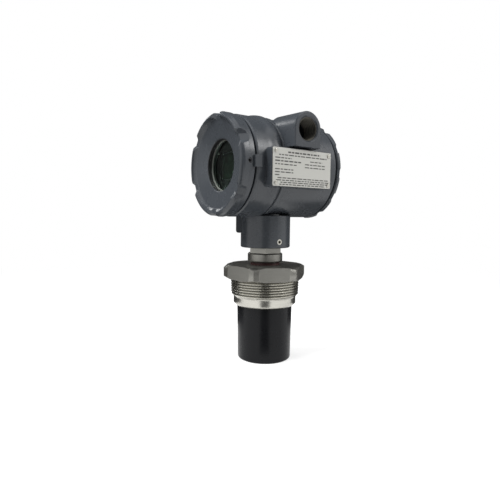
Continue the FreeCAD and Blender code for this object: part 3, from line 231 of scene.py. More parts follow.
class EffectGroups:
    """Shader node groups that several finishes share, each built once."""

    SPECK_SHARE = 0.35
    BROAD_LINE_SHARE = 0.4
    BROAD_LINE_SCALE = 0.17
    MARK_EDGE = 0.2

    def __init__(self) -> None:
        """Build all the groups."""
        self.grain = self._new("Surface Grain", {"Scale": 900.0, "Patch Scale": 40.0}, ("Height", "Shade"),
                               self._fill_grain)
        self.lines = self._new("Tool Lines", {"Density": 2600.0}, ("Height", "Streak"), self._fill_lines)
        self.marks = self._new("Handling Marks", {"Scale": 60.0, "Cover": 0.45}, ("Mask",), self._fill_marks)

    def _new(self, name: str, inputs: Dict[str, float], outputs: Sequence[str],
             fill: Callable[[Tree, bpy.types.Node, bpy.types.Node], None]) -> bpy.types.NodeTree:
        """Make one group.

        Args:
            name: The group's name.
            inputs: Named number inputs with their usual values; a vector input is added before them.
            outputs: Names of the value outputs.
            fill: Method that adds the nodes between the group's two ends.

        Returns:
            The node group.
        """
        group = bpy.data.node_groups.new(name, "ShaderNodeTree")
        group.interface.new_socket("Vector", in_out="INPUT", socket_type="NodeSocketVector")
        for label, usual in inputs.items():
            socket = group.interface.new_socket(label, in_out="INPUT", socket_type="NodeSocketFloat")
            socket.default_value = usual
        for label in outputs:
            group.interface.new_socket(label, in_out="OUTPUT", socket_type="NodeSocketFloat")
        tree = Tree(group)
        fill(tree, tree.node("NodeGroupInput"), tree.node("NodeGroupOutput"))
        return group

    def _fill_grain(self, tree: Tree, start: bpy.types.Node, end: bpy.types.Node) -> None:
        """Fine bumps, and broad patches of slightly different shade.

        Args:
            tree: Tree of the group.
            start: The node of its inputs.
            end: The node of its outputs.
        """
        fine = tree.noise(start.outputs["Vector"], start.outputs["Scale"], detail=3.0)
        broad = tree.noise(start.outputs["Vector"], start.outputs["Patch Scale"], detail=4.0)
        tree.feed(end.inputs["Height"], fine)
        tree.feed(end.inputs["Shade"], tree.blend(broad, fine, self.SPECK_SHARE))

    def _fill_lines(self, tree: Tree, start: bpy.types.Node, end: bpy.types.Node) -> None:
        """Fine rings about the Z axis of the coordinates, as a cutting tool leaves them.

        Args:
            tree: Tree of the group.
            start: The node of its inputs.
            end: The node of its outputs.
        """
        parts = tree.node("ShaderNodeSeparateXYZ")
        tree.feed(parts.inputs[0], start.outputs["Vector"])
        squares = [tree.math("MULTIPLY", parts.outputs[n], parts.outputs[n]) for n in (0, 1)]
        radius = tree.math("SQRT", tree.math("ADD", squares[0], squares[1]))
        ring = tree.node("ShaderNodeCombineXYZ")
        tree.feed(ring.inputs[0], radius)
        tree.feed(ring.inputs[2], parts.outputs[2])
        fine = tree.noise(ring.outputs[0], start.outputs["Density"], detail=3.0)
        sparse = tree.math("MULTIPLY", start.outputs["Density"], self.BROAD_LINE_SCALE)
        broad = tree.noise(ring.outputs[0], sparse, detail=1.0)
        tree.feed(end.inputs["Height"], fine)
        tree.feed(end.inputs["Streak"], tree.blend(fine, broad, self.BROAD_LINE_SHARE))

    def _fill_marks(self, tree: Tree, start: bpy.types.Node, end: bpy.types.Node) -> None:
        """Soft smudges where the part has been handled.

        Args:
            tree: Tree of the group.
            start: The node of its inputs.
            end: The node of its outputs.
        """
        cloud = tree.noise(start.outputs["Vector"], start.outputs["Scale"], detail=5.0)
        cover = start.outputs["Cover"]
        tree.feed(end.inputs["Mask"], tree.ramp(cloud, cover, tree.math("ADD", cover, self.MARK_EDGE)))


def place_effect(tree: Tree, group: bpy.types.NodeTree, vector: Socket, **values: float) -> bpy.types.Node:
    """Place a shared effect in a material.

    Args:
        tree: Tree of the material.
        group: The effect's node group.
        vector: Coordinates for it.
        **values: Its numbers by their names.

    Returns:
        The group node.
    """
    made = tree.node("ShaderNodeGroup", node_tree=group)
    tree.feed(made.inputs["Vector"], vector)
    for label, value in values.items():
        made.inputs[label].default_value = value
    return made


def new_material(name: str) -> Tuple[bpy.types.Material, Tree, bpy.types.Node]:
    """Start a material.

    Args:
        name: The material's name.

    Returns:
        The material, its tree and its shader node.
    """
    made = bpy.data.materials.new(name)
    made.use_nodes = True
    return made, Tree(made.node_tree), made.node_tree.nodes["Principled BSDF"]


@dataclass(frozen=True)
class Finish:
    """One surface finish of the record: its tones, gloss and fine detail."""

    slot: str
    pattern: Pattern
    colour: Triple
    second: Triple
    roughness: float
    roughness_spread: float = 0.08
    metallic: float = 0.0
    specular: float = 0.5
    detail_scale: float = 900.0
    bump: float = 0.1
    bump_depth: float = 0.05 * MM
    marks_share: float = 0.4
    soft_edge: float = 0.0
    edge_samples: int = 6

    def coordinates(self, tree: Tree) -> Socket:
        """Coordinates of the surface, turned so that tool marks run about Z.

        Args:
            tree: Tree of the material.

        Returns:
            The coordinates' socket.
        """
        place = tree.node("ShaderNodeTexCoord").outputs["Object"]
        if self.pattern not in (Pattern.TURNED_BARREL, Pattern.BRUSHED):
            return place
        turn = tree.node("ShaderNodeMapping")
        tree.feed(turn.inputs["Vector"], place)
        if self.pattern is Pattern.TURNED_BARREL:
            turn.vector_type = "TEXTURE"
            turn.inputs["Location"].default_value = (0.0, 0.0, BARREL_AXIS_Z)
            turn.inputs["Rotation"].default_value = (math.pi / 2, 0.0, 0.0)
        else:
            turn.inputs["Scale"].default_value = (0.0, 0.0, 1.0)
        return turn.outputs["Vector"]

    def material(self, groups: EffectGroups) -> bpy.types.Material:
        """Build the finish's material.

        Args:
            groups: The shared effects.

        Returns:
            The material.
        """
        made, tree, shader = new_material("finish_" + self.slot)
        vector = self.coordinates(tree)
        if self.pattern in (Pattern.CAST, Pattern.MOULDED):
            detail = place_effect(tree, groups.grain, vector, Scale=self.detail_scale)
            shade = detail.outputs["Shade"]
        else:
            detail = place_effect(tree, groups.lines, vector, Density=self.detail_scale)
            shade = detail.outputs["Streak"]
        marks = place_effect(tree, groups.marks, vector)
        tree.feed(shader.inputs["Base Color"], tree.mix(shade, linear(self.colour), linear(self.second)))
        low, high = self.roughness - self.roughness_spread, self.roughness + self.roughness_spread
        gloss = tree.blend(shade, marks.outputs["Mask"], self.marks_share)
        tree.feed(shader.inputs["Roughness"], tree.spread(gloss, low, high))
        relief = tree.node("ShaderNodeBump")
        relief.inputs["Strength"].default_value = self.bump
        relief.inputs["Distance"].default_value = self.bump_depth
        tree.feed(relief.inputs["Height"], detail.outputs["Height"])
        if self.soft_edge:
            edge = tree.node("ShaderNodeBevel", samples=self.edge_samples)
            edge.inputs["Radius"].default_value = self.soft_edge
            tree.feed(relief.inputs["Normal"], edge.outputs["Normal"])
        tree.feed(shader.inputs["Normal"], relief.outputs["Normal"])
        shader.inputs["Metallic"].default_value = self.metallic
        shader.inputs["Specular IOR Level"].default_value = self.specular
        return made


@dataclass(frozen=True)
class GlassFinish:
    """Clear window glass with faint smears on its face."""

    slot: str = "window_glass"
    tint: Triple = (222, 236, 228)
    clear_roughness: float = 0.01
    smear_roughness: float = 0.06
    index: float = 1.5

    def material(self, groups: EffectGroups) -> bpy.types.Material:
        """Build the glass, which lets light pass to what lies behind it.

        Args:
            groups: The shared effects.

        Returns:
            The material.
        """
        made, tree, shader = new_material("finish_" + self.slot)
        marks = place_effect(tree, groups.marks, tree.node("ShaderNodeTexCoord").outputs["Object"])
        tree.feed(shader.inputs["Roughness"],
                  tree.spread(marks.outputs["Mask"], self.clear_roughness, self.smear_roughness))
        shader.inputs["Base Color"].default_value = linear(self.tint)
        shader.inputs["Transmission Weight"].default_value = 1.0
        shader.inputs["IOR"].default_value = self.index
        passing = tree.node("ShaderNodeBsdfTransparent")
        passing.inputs["Color"].default_value = linear(self.tint)
        both = tree.node("ShaderNodeMixShader")
        tree.feed(both.inputs[0], tree.node("ShaderNodeLightPath").outputs["Is Shadow Ray"])
        tree.feed(both.inputs[1], shader.outputs["BSDF"])
        tree.feed(both.inputs[2], passing.outputs["BSDF"])
        tree.feed(made.node_tree.nodes["Material Output"].inputs["Surface"], both.outputs["Shader"])
        return made


FINISHES: Tuple[Finish, ...] = (
    Finish("housing_paint", Pattern.CAST, (60, 64, 69), (70, 74, 79), 0.28, 0.05, detail_scale=700.0,
           soft_edge=0.35 * MM),
    Finish("stainless", Pattern.TURNED_UPRIGHT, (180, 178, 170), (202, 200, 192), 0.27, 0.06, metallic=1.0,
           detail_scale=2600.0, bump=0.3, soft_edge=0.15 * MM),
    Finish("shell_polymer", Pattern.MOULDED, (14, 15, 17), (20, 21, 24), 0.3, 0.06, specular=0.18,
           detail_scale=500.0, bump=0.06),
    Finish("black_rubber", Pattern.MOULDED, (24, 24, 25), (38, 38, 38), 0.6, 0.1, detail_scale=1500.0),
    Finish("red_seal", Pattern.MOULDED, (46, 14, 15), (62, 20, 20), 0.55, 0.08, detail_scale=1500.0),
    Finish("pale_gasket", Pattern.MOULDED, (118, 122, 116), (140, 143, 137), 0.5, 0.08, detail_scale=1500.0),
    Finish("etched_plate", Pattern.BRUSHED, (196, 196, 190), (214, 213, 207), 0.42, 0.06, metallic=0.25,
           detail_scale=3000.0, bump=0.08),
    Finish("black_plastic", Pattern.MOULDED, (26, 28, 28), (38, 40, 40), 0.5, 0.06, detail_scale=1800.0),
    Finish("aluminium", Pattern.TURNED_BARREL, (182, 184, 186), (206, 208, 210), 0.34, 0.06, metallic=1.0,
           detail_scale=2400.0, bump=0.2),
    Finish("lcd", Pattern.MOULDED, (26, 34, 29), (33, 42, 35), 0.3, 0.04, specular=0.3, detail_scale=1900.0,
           bump=0.02),
    Finish("board", Pattern.MOULDED, (26, 74, 46), (36, 92, 58), 0.42, 0.08, detail_scale=1300.0),
    Finish("key_plastic", Pattern.MOULDED, (58, 62, 66), (74, 78, 82), 0.48, 0.06, detail_scale=1800.0),
    Finish("plated_brass", Pattern.BRUSHED, (196, 176, 128), (214, 196, 150), 0.3, 0.08, metallic=1.0,
           detail_scale=2200.0, bump=0.15),
    Finish("piezo", Pattern.MOULDED, (206, 192, 160), (222, 210, 182), 0.6, 0.08, detail_scale=2000.0),
    Finish("resin", Pattern.MOULDED, (44, 42, 40), (60, 57, 52), 0.35, 0.06, detail_scale=600.0),
    Finish("lead", Pattern.MOULDED, (70, 72, 74), (88, 90, 92), 0.5, 0.06, detail_scale=1800.0),
)
DULL_STEEL = Finish("dull_steel", Pattern.TURNED_UPRIGHT, (131, 130, 125), (149, 148, 142), 0.46, 0.08,
                    metallic=1.0, detail_scale=2600.0, bump=0.3, soft_edge=0.15 * MM)
# Darker steel painted into the roots of the bushing's thread as the shade that falls there.
THREAD_ROOT_SHADE = Finish("thread_root", Pattern.TURNED_UPRIGHT, (118, 117, 110), (138, 137, 130), 0.42, 0.08,
                     metallic=1.0, detail_scale=2600.0, bump=0.2)
DARK_STEEL = Finish("dark_steel", Pattern.TURNED_BARREL, (52, 52, 54), (78, 78, 80), 0.34, 0.08, metallic=1.0,
                    detail_scale=2600.0, bump=0.2)
INK = Finish("plate_ink", Pattern.MOULDED, (62, 62, 60), (92, 91, 88), 0.55, 0.05, detail_scale=4000.0)
BARE_CASTING = Finish("bare_casting", Pattern.CAST, (66, 64, 57), (88, 85, 76), 0.45, 0.08, metallic=0.6,
                      detail_scale=1600.0, bump=0.2)
# Near-black casting colour painted into the roots of the conduit entry's thread as shade.
CASTING_ROOT_SHADE = Finish("casting_root_shade", Pattern.MOULDED, (12, 12, 10), (22, 21, 18), 0.6, 0.08,
                      detail_scale=1500.0)


class FinishLibrary:
    """Materials of all the finishes, by slot."""

    def __init__(self) -> None:
        """Build the shared effects and every material."""
        groups = EffectGroups()
        chosen: List[Union[Finish, GlassFinish]] = [
            *FINISHES, DULL_STEEL, THREAD_ROOT_SHADE, DARK_STEEL, INK, BARE_CASTING, CASTING_ROOT_SHADE, GlassFinish(),
        ]
        self.materials = {finish.slot: finish.material(groups) for finish in chosen}

    def dress(self, node: bpy.types.Object, finish: Optional[str] = None) -> None:
        """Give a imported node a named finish, or that of the slot that it came with."""
        for place in node.material_slots:
            place.material = self.materials[finish or place.material.name]


def link(mesh: bpy.types.Mesh) -> bpy.types.Object:
    """Put a mesh into the scene.

    Args:
        mesh: The mesh.

    Returns:
        The new object, named as its mesh.
    """
    piece = bpy.data.objects.new(mesh.name, mesh)
    bpy.context.scene.collection.objects.link(piece)
    return piece


def finished_mesh(work: bmesh.types.BMesh, name: str, sharp_deg: float = 32.0) -> bpy.types.Mesh:
    """Turn working geometry into a mesh, smooth but for its sharp edges.

    Args:
        work: The geometry, which is freed.
        name: Name of the mesh.
        sharp_deg: Angle above which an edge stays sharp.

    Returns:
        The mesh.
    """
    bmesh.ops.recalc_face_normals(work, faces=work.faces[:])
    mesh = bpy.data.meshes.new(name)
    work.to_mesh(mesh)
    work.free()
    mesh.shade_smooth()
    mesh.set_sharp_from_angle(angle=math.radians(sharp_deg))
    return mesh


@dataclass
class HelixThread:
    """A right-hand screw thread about Z, made as rows that follow its helix."""

    pitch: float
    outer_radius: float
    depth: float
    start: float
    end: float
    taper: float = 0.0
    lead: float = 0.0
    lead_slope: float = 1.0
    columns: int = 160
    spare_turns: int = 3
    # Points of one turn: share of the pitch along it, and share of the depth above the root.
    outline: Tuple[Pair, ...] = (
        (0.0, 0.0), (0.05, 0.0), (0.15, 0.27), (0.25, 0.53), (0.35, 0.8), (0.43, 1.0),
        (0.57, 1.0), (0.65, 0.8), (0.75, 0.53), (0.85, 0.27), (0.95, 0.0),
    )

    def radius(self, height: float, crest: float) -> float:
        """Radius of the thread's surface.

        Args:
            height: Place along the axis.
            crest: 0 at the root and 1 at the crest.

        Returns:
            The radius, tapering downward and cut back at the lead.
        """
        radius = self.outer_radius - self.depth * (1.0 - crest) - self.taper * (self.end - height)
        if self.lead:
            rise = self.lead_slope * max(height - self.start, 0.0)
            radius = min(radius, self.outer_radius - self.lead + rise)
        return radius

    def add_to(self, work: bmesh.types.BMesh) -> None:
        """Add the thread's surface, open at both ends.

        Args:
            work: The geometry that it is added to.
        """
        count = len(self.outline)
        turns = math.ceil((self.end - self.start) / self.pitch) + self.spare_turns
        rows = turns * count
        lowest = self.start - self.pitch * self.spare_turns / 2
        grid: List[List[bmesh.types.BMVert]] = []
        for column in range(self.columns):
            angle = 2 * math.pi * column / self.columns
            line = []
            for row in range(rows):
                phase, crest = self.outline[row % count]
                height = lowest + self.pitch * (row // count + phase + column / self.columns)
                radius = self.radius(height, crest)
                line.append(work.verts.new((radius * math.cos(angle), radius * math.sin(angle), height)))
            grid.append(line)
        faces = []
        for column in range(self.columns):
            last = column == self.columns - 1
            here, there = grid[column], grid[0] if last else grid[column + 1]
            shift = count if last else 0
            for row in range(rows - 1 - shift):
                corners = (here[row], there[row + shift], there[row + 1 + shift], here[row + 1])
                faces.append(work.faces.new(corners))
        for height, way in ((self.start, -1.0), (self.end, 1.0)):
            faces = [f for f in faces if f.is_valid]
            points = {v for f in faces for v in f.verts}
            edges = {e for f in faces for e in f.edges}
            cut = bmesh.ops.bisect_plane(work, geom=[*points, *edges, *faces], plane_co=(0, 0, height),
                                         plane_no=(0, 0, way), clear_outer=True)
            faces = [g for g in cut["geom"] if isinstance(g, bmesh.types.BMFace) and g.is_valid]
        loose = [v for v in work.verts if not v.link_faces]
        bmesh.ops.delete(work, geom=loose, context="VERTS")

    def join_ends(self, work: bmesh.types.BMesh) -> None:
        """Bridge the open rims at both ends of the thread."""
        for height in (self.start, self.end):
            bmesh.ops.bridge_loops(work, edges=open_rim(work, height))


def open_rim(work: bmesh.types.BMesh, height: float, within: float = 0.02 * MM) -> List[bmesh.types.BMEdge]:
    """Find the open edges that lie at a height, within a small distance of it."""
    return [e for e in work.edges if e.is_boundary and all(abs(v.co.z - height) < within for v in e.verts)]


def add_ring(work: bmesh.types.BMesh, radius: float, low: float, high: float, columns: int) -> None:
    """Add a round wall about Z, open at both ends.

    Args:
        work: The geometry that it is added to.
        radius: Its radius.
        low: Height of its lower rim.
        high: Height of its upper rim.
        columns: Number of its flat panels.
    """
    rims = []
    for height in (low, high):
        angles = [2 * math.pi * n / columns for n in range(columns)]
        rims.append([work.verts.new((radius * math.cos(a), radius * math.sin(a), height)) for a in angles])
    for n in range(columns):
        nxt = (n + 1) % columns
        work.faces.new((rims[0][n], rims[1][n], rims[1][nxt], rims[0][nxt]))


def closed_band(name: str, outer: Sequence[Pair], inner: Sequence[Pair], front: float,
                rear: float) -> bpy.types.Mesh:
    """Make a flat ring that faces the front.

    Args:
        name: Name of the mesh.
        outer: Its outer outline, as points across and up.
        inner: Its inner outline, with as many points.
        front: Where its front face lies.
        rear: Where its rear face lies.

    Returns:
        The mesh.
    """
    work = bmesh.new()
    loops = [[work.verts.new((across, depth, up)) for across, up in outline]
             for outline, depth in ((outer, front), (inner, front), (inner, rear), (outer, rear))]
    count = len(outer)
    for side, loop in enumerate(loops):
        other = loops[(side + 1) % len(loops)]
        for n in range(count):
            nxt = (n + 1) % count
            work.faces.new((loop[n], loop[nxt], other[nxt], other[n]))
    return finished_mesh(work, name)


@dataclass
class SubAssembly:
    """A group of nodes that are dressed together, with the pieces that are added to them."""

    body: str
    nodes: Tuple[str, ...]
    own_finish: Dict[str, str] = field(default_factory=dict)

    def dress(self, finishes: FinishLibrary) -> None:
        """Give every node of the group its finish."""
        for name in self.nodes:
            finishes.dress(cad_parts[name], self.own_finish.get(name))

    def build(self, finishes: FinishLibrary) -> List[bpy.types.Object]:
        """Make the pieces that are added to the group; a plain group has none."""
        return []

    def seat(self, piece: bpy.types.Object, slot: str, material: bpy.types.Material) -> bpy.types.Object:
        """Dress an added piece and make it ride with the group's body.

        Args:
            piece: The piece.
            slot: The record's slot that it belongs to; not used.
            material: Its material.

        Returns:
            The piece.
        """
        piece.data.materials.clear()
        piece.data.materials.append(material)
        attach(piece, self.body)
        return piece


class BushingZone(Enum):
    """Faces of the bushing that differ in finish, in the order of its materials; the thread's roots carry
    painted shade.
    """

    BRIGHT = "stainless"
    HEXAGON = "dull_steel"
    THREAD_ROOT_SHADE = "thread_root"


@dataclass
class ProcessConnection(SubAssembly):
    """Bushing with its pipe thread, seal, and the nipple that carries the housing."""

    body: str = "sensor"
    nodes: Tuple[str, ...] = ("process_bushing", "bushing_seal", "hex_nipple", "nipple_oring")
    own_finish: Dict[str, str] = field(default_factory=lambda: {"hex_nipple": "dull_steel"})
    thread: HelixThread = field(default_factory=lambda: HelixThread(
        pitch=2.209 * MM, outer_radius=30.13 * MM, depth=1.45 * MM, start=-15.4 * MM, end=0.0,
        taper=1 / 32, lead=2.5 * MM, lead_slope=0.95))
    wall_inside: float = 26.0 * MM
    wall_outside: float = 30.3 * MM
    collar_from: float = -16.8 * MM
    root_share: float = 0.4
    root_margin: float = 0.04 * MM

    def build(self, finishes: FinishLibrary) -> List[bpy.types.Object]:
        """Replace the bushing by one whose plain thread wall is a cut thread.

        Args:
            finishes: The materials.

        Returns:
            The threaded bushing.
        """
        work = bmesh.new()
        work.from_mesh(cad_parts["process_bushing"].data)
        bmesh.ops.remove_doubles(work, verts=work.verts[:], dist=WELD)
        wall = [f for f in work.faces if all(self._on_wall(v.co) for v in f.verts)]
        bmesh.ops.delete(work, geom=wall, context="FACES")
        self._raise_collar(work)
        self.thread.add_to(work)
        self.thread.join_ends(work)
        piece = link(finished_mesh(work, "bushing_threaded"))
        zones = list(BushingZone)
        self.seat(piece, "stainless", finishes.materials[zones[0].value])
        for zone in zones[1:]:
            piece.data.materials.append(finishes.materials[zone.value])
        # Painted shade: faces in the thread's roots take the darker steel.
        for panel in piece.data.polygons:
            panel.material_index = zones.index(self._zone(panel.center))
        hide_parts("process_bushing")
        return [piece]

    def _raise_collar(self, work: bmesh.types.BMesh) -> None:
        """Carry the collar's open rim up to the foot of the thread.

        Args:
            work: The bushing without its plain wall.
        """
        rim = [e for e in work.edges if e.is_boundary and all(v.co.z < self.thread.start for v in e.verts)]
        for part in bmesh.ops.extrude_edge_only(work, edges=rim)["geom"]:
            if isinstance(part, bmesh.types.BMVert):
                part.co.z = self.thread.start

    def _zone(self, place: Vector) -> BushingZone:
        """Tell the hexagon, and the thread's roots that are painted darker as shade, from the bright faces.

        Args:
            place: Middle of a face.

        Returns:
            The zone that the face belongs to.
        """
        if place.z > self.thread.end + WELD:
            return BushingZone.HEXAGON
        root = self.thread.radius(place.z, self.root_share) - self.root_margin
        threaded = self.thread.start < place.z < self.thread.end
        if threaded and self.wall_inside < math.hypot(place.x, place.y) < root:
            return BushingZone.THREAD_ROOT_SHADE
        return BushingZone.BRIGHT

    def _on_wall(self, place: Vector) -> bool:
        """Tell whether a point lies on the plain wall that the thread takes the place of.

        Args:
            place: The point.

        Returns:
            True if it does.
        """
        radius = math.hypot(place.x, place.y)
        inside = self.wall_inside < radius < self.wall_outside
        return inside and self.collar_from < place.z < self.thread.end + WELD


@dataclass
class Transducer(SubAssembly):
    """Polymer cup with the sounder and its potting."""

    body: str = "sensor"
    nodes: Tuple[str, ...] = ("transducer_shell", "shell_oring", "matching_disc", "piezo_disc",
                              "damping_sleeve", "potting", "transducer_lead")


@dataclass
class Housing(SubAssembly):
    """Painted casting with its fasteners and the tapped conduit entry."""

    body: str = "housing"
    nodes: Tuple[str, ...] = ("housing_casting", "neck_set_screw", "conduit_plug", "earth_washer",
                              "earth_screw", "nameplate", "nameplate_screws")
    conduit_axis: Triple = (0.0, 2.0 * MM, 121.6 * MM)
    conduit_thread: HelixThread = field(default_factory=lambda: HelixThread(
        pitch=1.814 * MM, outer_radius=9.19 * MM, depth=0.95 * MM, start=36.0 * MM, end=50.6 * MM,
        columns=96))
    liner_radius: float = 9.35 * MM
    # Radius beyond which the entry's thread roots take the painted shade.
    root_from: float = 8.72 * MM

    def build(self, finishes: FinishLibrary) -> List[bpy.types.Object]:
        """Cut the thread of the conduit entry.

        Args:
            finishes: The materials.

        Returns:
            The threaded liner of the entry.
        """
        work = bmesh.new()
        thread = self.conduit_thread
        thread.add_to(work)
        add_ring(work, self.liner_radius, thread.start, thread.end, thread.columns)
        thread.join_ends(work)
        place = Matrix.Translation(self.conduit_axis) @ Matrix.Rotation(math.pi / 2, 4, "Y")
        bmesh.ops.transform(work, matrix=place, verts=work.verts[:])
        piece = link(finished_mesh(work, "conduit_thread"))
        self.seat(piece, "housing_paint", finishes.materials["bare_casting"])
        piece.data.materials.append(finishes.materials["casting_root_shade"])
        # Painted shade: faces deep in the thread's roots take the near-black colour.
        for panel in piece.data.polygons:
            away = panel.center - Vector(self.conduit_axis)
            panel.material_index = int(math.hypot(away.y, away.z) > self.root_from)
        return [piece]


@dataclass
class NamePlate(SubAssembly):
    """Plain printed bars on the nameplate, in the places of its rows."""

    body: str = "housing"
    nodes: Tuple[str, ...] = ()
    proud: float = 0.05 * MM
    sunk: float = 0.02 * MM
    word_gap: float = 0.9 * MM
    shortest_word: float = 1.6 * MM
    longest_word: float = 5.4 * MM
    seed: int = 7
    # Each row: shares of the plate at which it begins, ends and lies from the top, and its height in mm.
    rows: Tuple[Tuple[float, float, float, float], ...] = (
        (0.24, 0.80, 0.105, 1.15), (0.09, 0.92, 0.185, 0.8),
        (0.03, 0.30, 0.265, 0.8), (0.03, 0.46, 0.345, 1.0), (0.03, 0.39, 0.43, 0.8),
        (0.62, 0.84, 0.30, 0.75), (0.53, 0.89, 0.385, 0.75), (0.53, 0.89, 0.465, 0.75),
        (0.03, 0.33, 0.56, 0.8), (0.03, 0.33, 0.635, 0.8), (0.03, 0.10, 0.71, 0.8),
        (0.07, 0.95, 0.785, 0.75), (0.05, 0.97, 0.845, 0.75), (0.12, 0.97, 0.90, 0.75),
        (0.10, 0.90, 0.955, 0.75),
    )

    def build(self, finishes: FinishLibrary) -> List[bpy.types.Object]:
        """Print the bars.

        Args:
            finishes: The materials.

        Returns:
            The bars as one piece.
        """
        low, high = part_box("nameplate")
        draw = random.Random(self.seed)
        work = bmesh.new()
        for begin, end, down, thick in self.rows:
            here = low.y + begin * (high.y - low.y)
            stop = low.y + end * (high.y - low.y)
            middle = high.z - down * (high.z - low.z)
            while here < stop:
                length = min(draw.uniform(self.shortest_word, self.longest_word), stop - here)
                half = thick * MM / 2
                self._bar(work, high.x, (here, here + length), (middle - half, middle + half))
                here += length + self.word_gap
        piece = link(finished_mesh(work, "nameplate_bars"))
        self.seat(piece, "etched_plate", finishes.materials["plate_ink"])
        return [piece]

    def _bar(self, work: bmesh.types.BMesh, face: float, along: Pair, up: Pair) -> None:
        """Add one bar that stands a little proud of the plate's face.

        Args:
            work: The geometry that it is added to.
            face: Where the plate's face lies.
            along: Where the bar begins and ends along the plate.
            up: Heights of its lower and upper edge.
        """
        size = (self.proud + self.sunk, along[1] - along[0], up[1] - up[0])
        centre = (face + (self.proud - self.sunk) / 2, sum(along) / 2, sum(up) / 2)
        place = Matrix.Translation(centre) @ Matrix.Diagonal((*size, 1.0))
        bmesh.ops.create_cube(work, size=1.0, matrix=place)


@dataclass
class FrontCover(SubAssembly):
    """Scooped cover with its window, and a black ring in the window's bore that paints its wall dark as
    shade.
    """

    body: str = "front_cover"
    nodes: Tuple[str, ...] = ("front_cover", "cover_lock_screw", "front_cover_oring", "window_gasket",
                              "window_glass", "window_retaining_ring")
    own_finish: Dict[str, str] = field(default_factory=lambda: {"cover_lock_screw": "dark_steel"})
    shade_ring_outer: float = 20.88 * MM
    shade_ring_inner: float = 20.55 * MM
    shade_ring_front: float = -45.9 * MM
    shade_ring_rear: float = -42.51 * MM
    columns: int = 128

    def build(self, finishes: FinishLibrary) -> List[bpy.types.Object]:
        """Line the window's bore with a black ring that stands in for the shade on its wall.

        Args:
            finishes: The materials.

        Returns:
            The black ring of painted shade.
        """
        outer, inner = (self._circle(radius) for radius in (self.shade_ring_outer, self.shade_ring_inner))
        # Painted shade: a thin black ring over the bore's wall, darkening it as shade would.
        piece = link(closed_band("window_bore_shade", outer, inner, self.shade_ring_front, self.shade_ring_rear))
        return [self.seat(piece, "black_rubber", finishes.materials["black_rubber"])]

    def _circle(self, radius: float) -> List[Pair]:
        """Points of a circle about the barrel's axis."""
        angles = (2 * math.pi * n / self.columns for n in range(self.columns))
        return [(radius * math.cos(a), BARREL_AXIS_Z + radius * math.sin(a)) for a in angles]


@dataclass
class RearCover(SubAssembly):
    """Blind rear cover with its ring."""

    body: str = "rear_cover"
    nodes: Tuple[str, ...] = ("rear_cover", "rear_cover_oring")


@dataclass
class Electronics(SubAssembly):
    """Display with its frame, keys and module in the front compartment."""

    body: str = "housing"
    nodes: Tuple[str, ...] = ("electronics_module", "module_screws", "display_board", "lcd_panel",
                              "display_bezel", "bezel_screws", "key_left", "key_middle", "key_right",
                              "feedthrough", "module_lead")
    frame_half: Pair = (18.95 * MM, 11.35 * MM)
    frame_corner: float = 1.5 * MM
    frame_width: float = 0.6 * MM
    frame_depth: float = 0.5 * MM
    # Share of an inset by which a cut corner gets shorter.
    corner_loss: float = 0.59

    def build(self, finishes: FinishLibrary) -> List[bpy.types.Object]:
        """Lay the display's thin metal frame on its face, inside the bezel.

        Args:
            finishes: The materials.

        Returns:
            The frame.
        """
        low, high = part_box("lcd_panel")
        middle = (low + high) / 2
        outer, inner = (self._outline(middle, inset) for inset in (0.0, self.frame_width))
        mesh = closed_band("display_frame", outer, inner, low.y - self.frame_depth, low.y)
        return [self.seat(link(mesh), "aluminium", finishes.materials["aluminium"])]

    def _outline(self, middle: Vector, inset: float) -> List[Pair]:
        """Trace a rectangle with cut corners about the display's middle.

        Args:
            middle: The display's middle.
            inset: How far the outline lies inside the frame's outer edge.

        Returns:
            The outline's points, across and up.
        """
        across, up = (half - inset for half in self.frame_half)
        cut = self.frame_corner - self.corner_loss * inset
        quarter = ((across, up - cut), (across - cut, up))
        turns = ((1, 1, 1), (-1, 1, -1), (-1, -1, 1), (1, -1, -1))
        return [(middle.x + sx * x, middle.z + sz * z) for sx, sz, way in turns for x, z in quarter[::way]]


@dataclass
class Terminals(SubAssembly):
    """Terminal block and its screws in the rear compartment."""

    body: str = "housing"
    nodes: Tuple[str, ...] = ("terminal_block", "block_screws", "terminal_clamps", "terminal_screws",
                              "inner_earth_screw")


@dataclass
class PhotoCamera:
    """Camera at the photograph's viewpoint."""

    place: Triple = (0.2974, -0.2196, 0.0543)
    heading_deg: float = 55.63
    pitch_deg: float = 4.65
    roll_deg: float = 0.59
    focal_px: float = 418.35
    image_px: float = 500.0
    sensor_mm: float = 36.0
    nearest: float = 10.0 * MM

    def build(self) -> None:
        """Make the camera and look through it."""
        heading, pitch, roll = (math.radians(a) for a in (self.heading_deg, self.pitch_deg, self.roll_deg))
        level = Vector((-math.sin(heading), math.cos(heading), 0.0))
        forward = level * math.cos(pitch) - Vector((0, 0, 1)) * math.sin(pitch)
        flat = level.cross(Vector((0, 0, 1)))
        right = flat * math.cos(roll) + flat.cross(forward) * math.sin(roll)
        up = right.cross(forward)
        lens = bpy.data.cameras.new("photo_camera")
        lens.sensor_fit = "HORIZONTAL"
        lens.sensor_width = self.sensor_mm
        lens.lens = self.sensor_mm * self.focal_px / self.image_px
        lens.clip_start = self.nearest
        camera = bpy.data.objects.new("photo_camera", lens)
        turn = Matrix((right, up, -forward)).transposed()
        camera.matrix_world = Matrix.Translation(self.place) @ turn.to_4x4()
        bpy.context.scene.collection.objects.link(camera)
        bpy.context.scene.camera = camera


@dataclass(frozen=True)
class Softbox:
    """One soft studio lamp that is aimed at the object."""

    name: str
    place: Triple
    size: Pair
    power: float
    mirrored: bool = True


@dataclass(frozen=True)
class DarkCard:
    """Curved card around the object, with a flap on the floor and one overhead, that shades reflections."""

    name: str
    from_deg: float
    to_deg: float
    radius: float
    top: float
    tone: float
    floor_from: float = 0.05
    roof_to: float = 0.3
    foot: Optional[float] = None
    steps: int = 24


